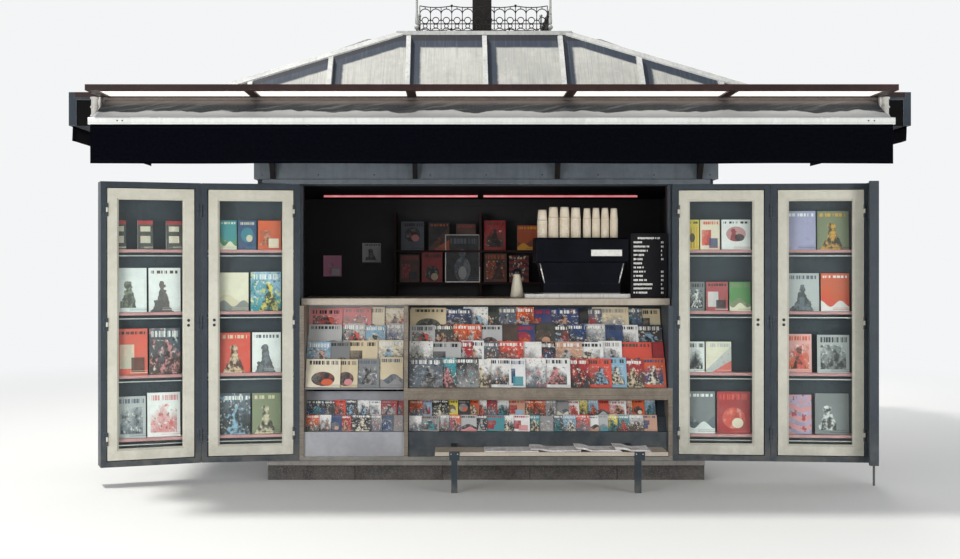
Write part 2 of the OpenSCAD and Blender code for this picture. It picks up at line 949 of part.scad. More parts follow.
// Turns a shape drawn for a hinge at the inner edge to the side where the hinge is:
// the outer edge on the outer cases, the inner edge on the others.
module from_hinge(index) {
    translate([is_outer(index) ? leaf_w : 0, 0, 0])
        mirror([is_outer(index) ? 1 : 0, 0, 0])
            children();
}

case_foot = plinth_h;
case_top = opening_top;
door_low = case_foot + border_w + door_gap;
door_high = case_top - border_w - door_gap;
door_mid = (door_low + door_high) / 2;
hinge_end = 150;
hinge_z = [door_low + hinge_end, door_mid, door_high - hinge_end];
pin_x = border_w + door_gap / 2;
knuckle_leaf_t = 4;
knuckle_leaf_w = 24;
knuckle_gap = 0.3;
outer_knuckles = [-1.5 * knuckle_l - knuckle_gap, 0.5 * knuckle_l + knuckle_gap];

// One hinge knuckle standing on a front face, with the leaf that reaches from x0 to its pin.
module knuckle(x, z, x0) {
    translate([x, -knuckle_r, z]) cylinder(h = knuckle_l, r = knuckle_r);
    span([min(x, x0), -knuckle_leaf_t, z], [max(x, x0), 0, z + knuckle_l]);
}

// Display case: sheet back and sides, a border round the door, a back with two sunk panels.
back_sink = 3;
back_rail = 60;
module case_shell() {
    back_half = (case_top - case_foot - 3 * back_rail) / 2;
    difference() {
        span([0, 0, case_foot], [leaf_w, leaf_t, case_top]);
        span(
            [case_wall, door_t + border_t, case_foot + case_wall],
            [leaf_w - case_wall, leaf_t - case_wall, case_top - case_wall]
        );
        span(
            [border_w, -past, case_foot + border_w],
            [leaf_w - border_w, door_t + border_t + past, case_top - border_w]
        );
        for (k = [0, 1])
            translate([back_rail, leaf_t - back_sink, case_foot + back_rail + k * (back_half + back_rail)])
                cube([leaf_w - 2 * back_rail, back_sink + past, back_half]);
    }
}

// The case with its fixed knuckles. At the fold the inner case carries the middle knuckle
// and the outer case the other two.
module case_body(index) {
    inner = is_left(index) ? 2 : 3;
    color("#4a5258")
        union() {
            place_leaf(index) {
                case_shell();
                from_hinge(index)
                    for (z = hinge_z)
                        for (dz = outer_knuckles)
                            knuckle(pin_x, z + dz, pin_x - knuckle_leaf_w);
            }
            for (z = hinge_z)
                if (is_outer(index)) {
                    for (dz = outer_knuckles) {
                        place_leaf(inner)
                            translate([leaf_w + leaf_gap / 2, -knuckle_r, z + dz])
                                cylinder(h = knuckle_l, r = knuckle_r);
                        place_leaf(index)
                            translate([-leaf_gap / 2, -knuckle_leaf_t, z + dz])
                                cube([knuckle_leaf_w + leaf_gap / 2, knuckle_leaf_t, knuckle_l]);
                    }
                } else {
                    place_leaf(index)
                        knuckle(leaf_w + leaf_gap / 2, z - knuckle_l / 2, leaf_w - knuckle_leaf_w);
                }
        }
}

// Fixed shelves of all four cases.
shelf_y = door_t + border_t + 10;
shelf_last = floor((case_top - case_foot - shelf_first - shelf_headroom) / shelf_pitch);
module case_shelves() {
    color("#c99a98")
        for (index = [1 : 4])
            place_leaf(index)
                for (k = [0 : shelf_last])
                    translate([case_wall, shelf_y, case_foot + shelf_first + k * shelf_pitch - shelf_t])
                        cube([leaf_w - 2 * case_wall, leaf_t - case_wall - shelf_y, shelf_t]);
}

// Glazed door: four mitred bars round a pane, bevelled towards the glass,
// with the moving hinge knuckles and the lock.
door_x0 = border_w + door_gap;
door_x1 = leaf_w - border_w - lock_gap;
pane_x0 = door_x0 + stile_w;
pane_x1 = door_x1 - stile_w;
pane_low = door_low + stile_w;
pane_high = door_high - stile_w;
mitre_w = 1.2;
mitre_depth = 0.8;
lock_rise = 20;
lock_r = 9;
lock_t = 4;

// What the bevel takes away: a block that narrows from the face towards the glass.
module bevel_cut() {
    intersection() {
        translate([0, 0, pane_low - bevel - past])
            linear_extrude(pane_high - pane_low + 2 * bevel + 2 * past)
                polygon([
                    [pane_x0 - bevel - past, -past],
                    [pane_x1 + bevel + past, -past],
                    [pane_x1, bevel],
                    [pane_x0, bevel]
                ]);
        along_x(pane_x0 - bevel - past, pane_x1 + bevel + past)
            polygon([
                [-past, pane_low - bevel - past],
                [-past, pane_high + bevel + past],
                [bevel, pane_high],
                [bevel, pane_low]
            ]);
    }
}

// Fine joint line from each corner of the frame to the pane, at 45 degrees.
module mitre_cuts() {
    half_w = (door_x1 - door_x0) / 2;
    half_h = (door_high - door_low) / 2;
    translate([(door_x0 + door_x1) / 2, 0, door_mid])
        for (side = [0, 1])
            for (end = [0, 1])
                mirror([side, 0, 0])
                    mirror([0, 0, end])
                        translate([-half_w, -past, -half_h])
                            rotate([0, -45, 0])
                                translate([0, 0, -mitre_w / 2])
                                    cube([stile_w * sqrt(2), past + mitre_depth, mitre_w]);
}
module door_frame(index) {
    color("#d2cfc2")
        place_leaf(index)
            from_hinge(index)
                union() {
                    difference() {
                        span([door_x0, 0, door_low], [door_x1, door_t, door_high]);
                        span([pane_x0, -past, pane_low], [pane_x1, door_t + past, pane_high]);
                        bevel_cut();
                        mitre_cuts();
                    }
                    for (z = hinge_z)
                        knuckle(pin_x, z - knuckle_l / 2, pin_x + knuckle_leaf_w);
                    translate([door_x1 - stile_w / 2, 0, door_mid + lock_rise])
                        rotate([90, 0, 0])
                            cylinder(h = lock_t, r = lock_r);
                }
}
module door_glass(index) {
    pane_y = bevel + 1;
    color("#9fb4b8", 0.35)
        place_leaf(index)
            from_hinge(index)
                span([pane_x0, pane_y, pane_low], [pane_x1, pane_y + glass_t, pane_high]);
}

// Closing post on the outermost right case, with its drop bolt.
closing_w = 60;
closing_t = 45;
closing_reach = 150;
closing_plate_t = 12;
closing_out = 24;
closing_over = 8;
bolt_r = 8;
module closing_post() {
    top = case_top + closing_over;
    color("#2e363d")
        place_leaf(4)
            translate([leaf_w, 0, 0])
                union() {
                    span([0, -closing_reach, case_foot], [closing_plate_t, leaf_t, top]);
                    span(
                        [closing_out - closing_w, -closing_reach, case_foot],
                        [closing_out, -closing_reach + closing_t, top]
                    );
                    translate([closing_out - closing_w / 2, -closing_reach + closing_t / 2, 0])
                        cylinder(h = case_foot, r = bolt_r);
                }
}

// Counter board across the opening.
counter_front = front_y + counter_back;
counter_rear = counter_front + counter_d;
counter_foot = counter_z - counter_t;
module counter_top() {
    color("#b5aa9a")
        edged_board([-opening_half, counter_front, counter_foot], [opening_half, counter_rear, counter_z], 5);
}

// Outline of a stepped rack: a sheet folded into ledges and leaning backrests.
// The last backrest runs on at the same lean up to the given top.
function rack_line(rows, row_h, front, foot, top) = [
    for (k = [0 : rows - 1])
        each [
            [front + k * (ledge_d + row_lean), foot + k * row_h],
            [front + k * (ledge_d + row_lean) + ledge_d, foot + k * row_h],
        ],
    let (last_front = front + (rows - 1) * (ledge_d + row_lean) + ledge_d)
    let (last_h = top - foot - (rows - 1) * row_h)
    [last_front + row_lean * last_h / row_h, top]
];
module rack_sheet(x0, x1, rows, row_h, front, foot, top) {
    line = rack_line(rows, row_h, front, foot, top);
    below = [for (k = [len(line) - 1 : -1 : 0]) line[k] + [sheet_t, -sheet_t]];
    along_x(x0, x1) polygon(concat(line, below));
}
rack_front = front_y + lip_t;
low_front = rack_front + 10;
low_back_top = rack_foot - lip_h / 2;
module rack_bay(x0, x1) {
    rack_sheet(x0, x1, rack_rows, rack_row_h, rack_front, rack_foot, counter_foot);
    rack_sheet(x0, x1, low_rows, low_row_h, low_front, kick_top, low_back_top);
    span([x0, rack_front, floor_z], [x1, rack_front + sheet_t, kick_top]);
}
bay_left = -opening_half + cheek_t;
cheek_x = bay_left + left_bay_w;
rack_left = cheek_x + cheek_t;
rack_right = opening_half - cheek_t;
module magazine_rack() {
    color("#2f363b")
        union()
            rack_bay(rack_left, rack_right);
}

// Wooden lip, side cheeks and the dividing cheek of the racks.
module rack_trim() {
    color("#a2978a")
        union() {
            edged_board([rack_left, front_y, rack_foot - lip_h], [rack_right, rack_front, rack_foot + 2], 5);
            for (x = [-opening_half, cheek_x, rack_right])
                span([x, front_y, floor_z], [x + cheek_t, counter_rear, counter_foot]);
        }
}

// Display in the narrow bay on the left, over a pale kick panel.
module left_display() {
    color("#8f9294")
        union()
            rack_bay(bay_left, cheek_x);
}

// Low bench for newspapers in front of the racks, held by two arms with clips round its edge.
bench_front = front_y - bench_reach;
leg_x = [bench_x - bench_l / 2 + 130, bench_x + bench_l / 2 - 190];
leg_w = 42;
leg_in = 60;
arm_h = 30;
clip_w = 70;
clip_t = 4;
clip_lap = 16;
module bench_board() {
    color("#c5beb5")
        span(
            [bench_x - bench_l / 2, bench_front, bench_z - bench_t],
            [bench_x + bench_l / 2, bench_front + bench_d, bench_z]
        );
}
module bench_legs() {
    under = bench_z - bench_t;
    color("#1c2126")
        for (x = leg_x)
            union() {
                translate([x - leg_w / 2, bench_front + leg_in, 0])
                    cube([leg_w, leg_w, under]);
                translate([x - leg_w / 2, bench_front - clip_t, under - arm_h])
                    cube([leg_w, rack_front - bench_front + clip_t, arm_h]);
                translate([x - clip_w / 2, bench_front - clip_t, under - arm_h])
                    cube([clip_w, clip_t, arm_h + bench_t]);
                translate([x - clip_w / 2, bench_front - clip_t, bench_z])
                    cube([clip_w, clip_t + clip_lap, clip_t]);
            }
}

// Coffee machine: a hood on a lower body that narrows downwards, on a pale tray,
// with two brewing groups and their handles under the hood on the working side.
machine_y = counter_front + 60;
tray_h = 30;
tray_left = 80;
tray_right = 15;
foot_h = 105;
hood_z = 256;
hood_edge = 12;
taper = 34;
panel_in = 22;
working_d = 120;
group_r = 32;
group_h = 40;
handle_r = 9;
handle_l = 110;
module machine_body() {
    body_d1 = machine_d - working_d;
    span([panel_in + taper, 2 * hood_edge, tray_h], [machine_w - panel_in - taper, body_d1, foot_h]);
    along_y(hood_edge, body_d1)
        polygon([
            [panel_in + taper, foot_h],
            [machine_w - panel_in - taper, foot_h],
            [machine_w - panel_in, hood_z],
            [panel_in, hood_z]
        ]);
    along_x(0, machine_w)
        polygon([
            [0, hood_z + hood_edge],
            [hood_edge, hood_z],
            [machine_d, hood_z],
            [machine_d, machine_h - 3 * hood_edge],
            [machine_d - 3 * hood_edge, machine_h],
            [hood_edge, machine_h],
            [0, machine_h - hood_edge]
        ]);
}
module brewing_group(x) {
    translate([x, machine_d - working_d / 2, hood_z - group_h]) {
        cylinder(h = group_h, r = group_r);
        translate([0, 0, group_h / 3])
            rotate([-90, 0, 0])
                cylinder(h = handle_l, r = handle_r);
    }
}
module coffee_machine() {
    color("#151a24")
        translate([machine_x, machine_y, counter_z])
            union() {
                span([-tray_left, 0, 0], [machine_w + tray_right, machine_d, tray_h]);
                machine_body();
                for (x = [machine_w / 3, 2 * machine_w / 3])
                    brewing_group(x);
            }
}

// Cups stacked rim down on the machine: four columns of large cups, then four of small ones.
large_cup_r = 40;
small_cup_r = 32;
cup_taper = 9;
cup_gap = 2;
cup_columns = 4;
cup_start = 9;
cup_back = 90;
module cup_row(x0, r) {
    for (k = [0 : cup_columns - 1])
        translate([x0 + r + k * (2 * r + cup_gap), cup_back, machine_h])
            cylinder(h = cup_stack_h, r1 = r, r2 = r - cup_taper);
}
module cup_stacks() {
    color("#e8dcc8")
        translate([machine_x, machine_y, counter_z]) {
            cup_row(cup_start, large_cup_r);
            cup_row(2 * cup_start + cup_columns * (2 * large_cup_r + cup_gap), small_cup_r);
        }
}

// Steel carafe beside the machine.
carafe_x = 240;
carafe_y = 250;
module carafe() {
    color("#b8babb")
        translate([carafe_x, counter_front + carafe_y, counter_z])
            rotate_extrude()
                polygon([[0, 0], [42, 0], [45, 20], [40, 120], [28, 170], [30, 205], [24, 222], [0, 226]]);
}

// Framed menu board standing on the counter at the right, with a foot behind it.
menu_w = 265;
menu_h = 470;
menu_t = 15;
menu_rim = 9;
menu_right = 10;
menu_foot_d = 90;
module menu_board() {
    x1 = opening_half - menu_right;
    y0 = counter_front + 45;
    color("#16181b")
        union() {
            difference() {
                span([x1 - menu_w, y0, counter_z], [x1, y0 + menu_t, counter_z + menu_h]);
                span(
                    [x1 - menu_w + menu_rim, y0 - past, counter_z + menu_rim],
                    [x1 - menu_rim, y0 + 4, counter_z + menu_h - menu_rim]
                );
            }
            along_x(x1 - menu_w / 2 - 10, x1 - menu_w / 2 + 10)
                polygon([
                    [y0 + menu_t, counter_z],
                    [y0 + menu_t + menu_foot_d, counter_z],
                    [y0 + menu_t, counter_z + menu_h / 2]
                ]);
        }
}

// Shelving on the rear wall, in two bays.
back_d = 260;
back_t = 20;
back_bay_w = 738;
back_board_z = [900, 1382, 1660];
back_board_t = 18;
back_top_gap = 134;
module back_shelves() {
    y1 = rear_y - wall_t;
    color("#2b2426")
        union() {
            for (k = [-1 : 1])
                translate([k * back_bay_w, y1 - back_d, floor_z])
                    cube([back_t, back_d, opening_top - back_top_gap - floor_z]);
            for (z = back_board_z)
                span([-back_bay_w, y1 - back_d, z - back_board_t], [back_bay_w + back_t, y1, z]);
        }
}

plinth();
floor_deck();
side_walls();
rear_wall();
service_door();
front_jambs();
front_fascia();
opening_frame();
ceiling();
ceiling_lights();
canopy_beams();
canopy_struts();
canopy_panels();
canopy_deck();
roof_shell();
roof_ribs();
roof_flashing();
cresting();
roof_posts();
awning_cassette();
awning_arms();
awning_fabric();
awning_front_bar();
awning_valance();
side_eaves();
side_valances();
case_body(1);  // case_1
case_body(2);  // case_2
case_body(3);  // case_3
case_body(4);  // case_4
case_shelves();
door_frame(1);  // door_1
door_frame(2);  // door_2
door_frame(3);  // door_3
door_frame(4);  // door_4
door_glass(1);  // glass_1
door_glass(2);  // glass_2
door_glass(3);  // glass_3
door_glass(4);  // glass_4
closing_post();
counter_top();
magazine_rack();
rack_trim();
left_display();
bench_board();
bench_legs();
coffee_machine();
cup_stacks();
carafe();
menu_board();
back_shelves();
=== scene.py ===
"""Street kiosk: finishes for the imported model, and the cloth, printed matter and small fittings
that go round it. Metres, +Z up, the serving side faces -Y."""
import math

import bmesh
import bpy
import numpy as np
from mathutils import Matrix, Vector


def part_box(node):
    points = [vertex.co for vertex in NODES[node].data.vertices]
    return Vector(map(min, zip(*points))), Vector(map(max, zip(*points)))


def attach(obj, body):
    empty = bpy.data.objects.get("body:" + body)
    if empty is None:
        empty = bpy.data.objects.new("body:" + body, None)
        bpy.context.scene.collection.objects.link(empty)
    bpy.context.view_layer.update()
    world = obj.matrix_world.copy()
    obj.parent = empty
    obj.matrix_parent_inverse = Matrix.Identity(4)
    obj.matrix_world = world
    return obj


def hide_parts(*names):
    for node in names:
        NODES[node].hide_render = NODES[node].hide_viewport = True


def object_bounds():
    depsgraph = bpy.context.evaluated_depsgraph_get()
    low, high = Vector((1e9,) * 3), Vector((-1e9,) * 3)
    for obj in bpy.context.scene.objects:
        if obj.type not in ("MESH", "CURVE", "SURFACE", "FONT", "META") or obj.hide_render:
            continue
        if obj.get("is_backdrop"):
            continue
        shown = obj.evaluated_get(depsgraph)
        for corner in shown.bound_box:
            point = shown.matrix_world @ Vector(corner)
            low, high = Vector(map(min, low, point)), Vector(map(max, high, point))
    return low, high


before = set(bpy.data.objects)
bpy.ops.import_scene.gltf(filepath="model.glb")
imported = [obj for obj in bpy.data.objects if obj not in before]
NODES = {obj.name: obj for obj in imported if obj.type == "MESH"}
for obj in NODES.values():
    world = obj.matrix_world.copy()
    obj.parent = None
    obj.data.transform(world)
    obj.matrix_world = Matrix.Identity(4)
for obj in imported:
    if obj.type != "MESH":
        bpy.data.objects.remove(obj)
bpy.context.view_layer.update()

BODY = "kiosk"
rng = np.random.default_rng(20)


def linear(code):
    """Linear colour of a web colour: ((c + 0.055) / 1.055) ^ 2.4, or c / 12.92 in the darkest part."""
    shade = np.array([int(code[k:k + 2], 16) for k in (1, 3, 5)]) / 255
    curve = np.where(shade <= 0.04045, shade / 12.92, ((shade + 0.055) / 1.055) ** 2.4)
    return (*curve.tolist(), 1.0)


# ---------------------------------------------------------------- nodes
def two_ways(operation):
    """An operator's two methods: the field comes first in one and second in the other."""
    return (lambda field, other: calc(operation, field, other),
            lambda field, other: calc(operation, other, field))


class Field:
    """What a node puts out. Sums, products, powers and comparisons of fields are Math nodes; a
    comparison is 1 where it holds and 0 elsewhere."""
    __add__, __radd__ = two_ways("ADD")
    __sub__, __rsub__ = two_ways("SUBTRACT")
    __mul__, __rmul__ = two_ways("MULTIPLY")
    __truediv__, __rtruediv__ = two_ways("DIVIDE")
    __pow__, __rpow__ = two_ways("POWER")
    __gt__, __lt__ = two_ways("GREATER_THAN")

    def __init__(self, socket):
        self.socket, self.tree = socket, socket.id_data

    def __abs__(self):
        return calc("ABSOLUTE", self)


def tree_of(values):
    """The node tree of the first field among the values."""
    return next(value.tree for value in values if isinstance(value, Field))


def feed(socket, value):
    """Links a socket to a field, or sets it to a number, a vector or a web colour."""
    if isinstance(value, Field):
        value.tree.links.new(value.socket, socket)
    else:
        socket.default_value = linear(value) if isinstance(value, str) else value


def fill(node, inputs):
    """Feeds a node's sockets by name, with _ for a space."""
    for key, value in inputs.items():
        feed(node.inputs[key.replace("_", " ")], value)
    return node


def add(tree, kind, settings=(), **inputs):
    """New node of that kind with its settings and inputs."""
    node = tree.nodes.new(kind if kind.startswith("NodeGroup") else "ShaderNode" + kind)
    for key, value in dict(settings).items():
        setattr(node, key, value)
    return fill(node, inputs)


def in_order(node, values):
    """Feeds a node's first sockets in their order."""
    for socket, value in zip(node.inputs, values):
        feed(socket, value)
    return node


def calc(operation, *terms, kind="Math", output=0, **settings):
    """Field of a Math or VectorMath node on the terms."""
    node = add(tree_of(terms), kind, {"operation": operation, **settings})
    return Field(in_order(node, terms).outputs[output])


def total(*terms):
    """Sum of the terms, kept between 0 and 1."""
    out = terms[0]
    for term in terms[1:]:
        out = calc("ADD", out, term, use_clamp=True)
    return out


def tint(amount, low, high):
    """Colour between low and high by the amount."""
    node = add(tree_of((amount, low, high)), "Mix", {"data_type": "RGBA"})
    for number, value in ((0, amount), (6, low), (7, high)):
        feed(node.inputs[number], value)
    return Field(node.outputs[2])


def ease(value, start, end):
    """0 before start, 1 after end, and a smooth step between them."""
    return Field(add(value.tree, "MapRange", {"interpolation_type": "SMOOTHSTEP"}, Value=value,
                     From_Min=start, From_Max=end).outputs[0])


def noise(place, scale, detail=3.0, roughness=0.55):
    """Value of a noise texture at the place."""
    return Field(add(place.tree, "TexNoise", Vector=place, Scale=scale, Detail=detail,
                     Roughness=roughness).outputs["Fac"])


def stretch(place, factors):
    """The place times a factor along each axis."""
    return calc("MULTIPLY", place, factors, kind="VectorMath")


def split(place):
    """X, Y and Z of a place."""
    return [Field(socket) for socket in add(place.tree, "SeparateXYZ", Vector=place).outputs]


def join(x, y, z=0.0):
    """The place with that X, Y and Z."""
    return Field(add(tree_of((x, y, z)), "CombineXYZ", X=x, Y=y, Z=z).outputs[0])


def group(*outputs, **inputs):
    """Makes a node group out of a function that takes its inputs as fields and lists its outputs. The
    function's name then places the group, with the values given in order, and gives the outputs."""
    kinds = {float: "NodeSocketFloat", tuple: "NodeSocketVector", str: "NodeSocketColor"}

    def build(recipe):
        tree = bpy.data.node_groups.new(recipe.__name__, "ShaderNodeTree")
        given = {"place": (0.0, 0.0, 0.0), **inputs}
        for key, value in given.items():
            kind = kinds[type(value)]
            feed(tree.interface.new_socket(key, in_out="INPUT", socket_type=kind), value)
        for key in outputs:
            kind = kinds[str if key == "colour" else float]
            tree.interface.new_socket(key, in_out="OUTPUT", socket_type=kind)
        results = recipe(*map(Field, list(add(tree, "NodeGroupInput").outputs)[:len(given)]))
        for socket, result in zip(add(tree, "NodeGroupOutput").inputs, results):
            feed(socket, result)

        def place_group(*values):
            node = in_order(add(tree_of(values), "Group", {"node_tree": tree}), values)
            fields = [Field(socket) for socket in node.outputs]
            return fields if len(fields) > 1 else fields[0]
        return place_group
    return build


@group("value", scale=3.0)
def cloudy(place, scale):
    """Cloudy variation: coarse noise plus a share of fine noise."""
    both = noise(place, scale, 4, 0.6) * 0.68 + noise(place, scale * 9.0, 3, 0.6) * 0.32
    return [ease(both, 0.36, 0.64)]


@group("mask", radius=0.004, break_up=0.5)
def worn_edges(place, radius, break_up):
    """Where the rounded normal leaves the face's own, broken up by noise."""
    rounded = Field(add(place.tree, "Bevel", {"samples": 4}, Radius=radius).outputs[0])
    flat = Field(add(place.tree, "NewGeometry").outputs["Normal"])
    edge = ease(1.0 - calc("DOT_PRODUCT", rounded, flat, kind="VectorMath", output="Value"), 0.02, 0.22)
    low = break_up * 0.62
    return [edge * ease(noise(place, 38.0, 4, 0.7), low, low + 0.16)]


@group("mask", reach=0.5)
def ground_dirt(place, reach):
    """Dirt that thins out upwards from the ground, in patches."""
    return [ease(split(place)[2], reach, 0.0) * ease(noise(place, 7.0, 5, 0.65), 0.3, 0.62)]


@group("mask", pitch=20.0, length=0.6)
def rain_streaks(place, pitch, length):
    """Streaks that run down the surface: noise drawn out along the height."""
    return [ease(noise(stretch(place, join(pitch, pitch, 1.0 / length)), 1.0, 4, 0.6), 0.46, 0.72)]


@group("height", along=(400.0, 400.0, 400.0))
def grain(place, along):
    """Fine relief: noise drawn out by a factor along each axis."""
    return [noise(stretch(place, along), 1.0, 3, 0.5)]


@group("mask", low=(-1.0, -1.0, -1.0), high=(1.0, 1.0, 1.0))
def inside_box(place, low, high):
    """1 inside the box between low and high, and 0 outside."""
    over_low = calc("SUBTRACT", place, low, kind="VectorMath")
    under_high = calc("SUBTRACT", high, place, kind="VectorMath")
    x, y, z = split(calc("MINIMUM", over_low, under_high, kind="VectorMath"))
    return [calc("MINIMUM", calc("MINIMUM", x, y), z) > 0.0]


@group("height", "shade", thread=0.0016)
def weave(place, thread):
    """Plain weave on a UV map in metres: two crossed sine waves, each over and under the other."""
    x, y = split(place)[:2]
    turn = math.pi / thread
    warp, weft = calc("SINE", x * turn), calc("SINE", y * turn)
    return [abs(warp) * 0.5 + warp * weft * 0.5,
            noise(stretch(place, (60.0, 60.0, 60.0)), 1.0, 4, 0.6)]


@group("colour", paper="#ffffff", ink="#303030", accent="#c04030", kind=0.0, seed=0.0)
def cover_print(place, paper, ink, accent, kind, seed):
    """Printed cover on a 0 to 1 UV map. The kind picks the drawing, in the order of KINDS; ink and
    accent are its colours. A title of loose broken marks runs over the top and two thin lines along
    the foot."""
    u, v = split(place)[:2]

    def between(a, low, high):
        return (a > low) * (a < high)

    def wave(a, turns, shift=0.0):
        return calc("SINE", a * turns + shift)

    def disc(cx, cy, rx, ry):
        return abs((u - cx) / rx) ** 2.0 + abs((v - cy) / ry) ** 2.0 < 1.0

    def is_kind(number):
        return calc("COMPARE", kind, float(number), 0.4)

    place = join(u, v, seed)
    cloud = noise(place, 5.0, 4, 0.6)
    broad = noise(stretch(place, (1.0, 0.8, 7.0)), 2.6, 5, 0.62)
    calm = (seed < 0.5) * 0.35
    sky = total(v * 0.45, broad * 0.9, calm)
    scene_tone = tint(ease(sky, 0.5, 0.86), ink, paper)
    patches = calc("MAXIMUM", ease(cloud, 0.56, 0.66) - calm * 2.6, 0.0)
    scene_tone = tint(patches * 0.8, scene_tone, accent)
    dark = tint(0.8, scene_tone, "#16130f")
    specks = calc("MAXIMUM", ease(noise(place, 11.0, 3, 0.6), 0.56, 0.7) - calm * 2.6, 0.0)
    scene_tone = tint(specks, scene_tone, dark)
    shine = ease(noise(stretch(place, (1.0, 1.0, 3.0)), 9.0, 4, 0.65), 0.56, 0.66) - calm * 2.6
    scene_tone = tint(calc("MAXIMUM", shine, 0.0) * 0.8, scene_tone, "#efe9df")
    sway = (cloud - 0.5) * 0.34
    off = abs(u - (0.36 + seed * 0.28) + sway)
    head = off * off + (v - 0.6) * (v - 0.6) < 0.0105
    body = (off < 0.07 + (0.53 - v) * 0.55) * (v < 0.53)
    subject = calc("MAXIMUM", head, body) * (calc("FRACT", seed * 7.0) > 0.35)
    cast = tint(ease(noise(place, 7.0, 3, 0.6), 0.42, 0.6), "#191614", accent)
    scene_tone = tint(subject * 0.9, scene_tone, cast)
    shift = seed * 6.0
    middle = 0.42 + wave(seed, 31.0) * 0.12
    hill = 0.34 + wave(u, 6.0, shift) * 0.1
    brow = 0.2 + wave(u, 9.0, seed * 11.0) * 0.08
    rim = between(u, 0.1, 0.9) * between(v, 0.1, 0.74)
    pane = between(u, 0.17, 0.83) * (wave(v, 15.7, 2.5) > -0.35) * between(v, 0.06, 0.8)
    drawings = [
        (disc(0.5, middle, 0.34, 0.25), disc(0.62, middle - 0.12, 0.17, 0.12)),
        (v < u * 0.8 + 0.06, v < u * 0.5 - 0.12),
        (wave(v, 26.0, wave(u, 6.0, shift) * 1.4) > 0.2, cloud > 0.6),
        (rim, rim * (cloud > 0.52)),
        (total(disc(middle, 0.27, 0.24, 0.27), disc(middle, 0.62, 0.1, 0.09)),
         disc(middle, 0.2, 0.12, 0.14)),
        ((wave(u, 30.0, shift) > 0.0) * between(v, 0.06, 0.76), disc(0.5, 0.4, 0.2, 0.15)),
        (between(u, 0.08, 0.56) * between(v, 0.14, 0.66), between(u, 0.46, 0.9) * between(v, 0.06, 0.38)),
        (v < hill, v < brow),
        (pane, v > 0.86),
        (v > -1.0, 0.0),
    ]
    for number, (one, two) in enumerate(drawings):
        one, two = one * is_kind(number), two * is_kind(number)
        first, second = (total(first, one), total(second, two)) if number else (one, two)
    count = 6.0 + seed * 6.0
    cell = calc("FRACT", u * count + seed)
    marks = noise(join(u * count, seed * 9.0), 1.6, 1, 0.5)
    low_line = 0.89 - seed * 0.09
    title = (between(v, low_line, 0.94) * between(u, 0.07, 0.93) * between(cell, 0.1, 0.9)
             * (marks > 0.44) * (1.0 - is_kind(8)))
    foot = (wave(v, 150.0) > 0.3) * (between(v, 0.03, 0.095) * (u > 0.42))
    pictured = total(is_kind(3), is_kind(9))
    base = tint(cloud * 0.12, paper, ink)
    drawn = tint(first, base, tint(pictured * 0.7 + 0.3, ink, scene_tone))
    drawn = tint(second * (0.9 - pictured * 0.9), drawn, accent)
    title_tone = tint(seed > 0.5, accent, ink)
    title_tone = tint(is_kind(9) * (seed > 0.5), title_tone, "#e8e6df")
    titled = tint(title * (seed > 0.12), drawn, title_tone)
    return [tint(foot * 0.7, titled, ink)]


# ---------------------------------------------------------------- materials
FINISH = {}  # materials by name


def new_material(name):
    """Adds an empty material to FINISH; returns its tree and its Principled BSDF."""
    material = bpy.data.materials.new(name)
    material.use_nodes = True
    tree = material.node_tree
    FINISH[name] = material
    return tree, tree.nodes["Principled BSDF"]


def here(tree, kind="Object"):
    """Coordinates of that kind."""
    return Field(add(tree, "TexCoord").outputs[kind])


def ray(tree, kind):
    """1 for rays of that kind."""
    return Field(add(tree, "LightPath").outputs[f"Is {kind} Ray"])


def relief(shader, height, depth, strength=1.0):
    """Bump of that depth in metres, into the shader's normal."""
    bump = add(shader.id_data, "Bump", Strength=strength, Distance=depth, Height=height)
    feed(shader.inputs["Normal"], Field(bump.outputs[0]))


def share(amount, one, other, end):
    """Sends one shader into the end socket, and the other in its place by the amount."""
    both = add(amount.tree, "MixShader", Fac=amount)
    for node, socket in ((one, both.inputs[1]), (other, both.inputs[2]), (both, end)):
        amount.tree.links.new(node.outputs[0], socket)


def coated(name, tone, shade, rough, metal=0.0, mottle=2.6, edge=None, radius=0.003, break_up=0.6,
           dirt=0.0, reach=0.5, streak=0.0, streak_tone="#202224", pitch=24.0, length=0.5, along=420.0,
           depth=0.0004, inside=None, extra=None, gloss=0.5):
    """Paint or metal: two tones in clouds, worn edges, rain streaks, dirt near the ground, a rougher
    finish where it is dirty, and fine relief, whose scale along is one number or three. inside is a
    box and the near-black tone the colour turns to within it; extra recolours last; gloss is the level of
    the sheen."""
    tree, shader = new_material(name)
    place = here(tree)
    clouds = cloudy(place, mottle)
    colour = tint(clouds, tone, shade)
    if streak:
        run = rain_streaks(place, pitch, length)
        colour = tint(run * streak, colour, streak_tone)
    if edge:
        worn = worn_edges(place, radius, break_up)
        colour = tint(worn, colour, edge)
    soil = ground_dirt(place, reach) * dirt
    colour = tint(soil, colour, "#8d867b")
    if inside:
        low, high, lining = inside
        colour = tint(inside_box(place, low, high), colour, lining)
    if extra:
        colour = extra(place, colour)
    feed(shader.inputs["Base Color"], colour)
    rougher = rough + (clouds * 0.1 + soil * 0.3)
    feed(shader.inputs["Roughness"], calc("MINIMUM", rougher, 1.0))
    fill(shader, {"Metallic": metal, "Specular IOR Level": gloss})
    along = along if isinstance(along, tuple) else (along,) * 3
    relief(shader, grain(place, along), depth)


def glow(name, tone, shade, strength, mottle=1.4):
    """Plastic with emission in two tones in soft clouds, under a satin surface; on the milky canopy
    panels, which are no lamp, the emission is painted light.
    """
    tree, shader = new_material(name)
    place = here(tree)
    clouds = cloudy(place, mottle)
    colour = tint(clouds, tone, shade)
    feed(shader.inputs["Base Color"], colour)
    feed(shader.inputs["Emission Color"], colour)
    shader.inputs["Emission Strength"].default_value = strength
    feed(shader.inputs["Roughness"], 0.35 + clouds * 0.15)
    relief(shader, grain(place, (90.0, 90.0, 90.0)), 0.0006)


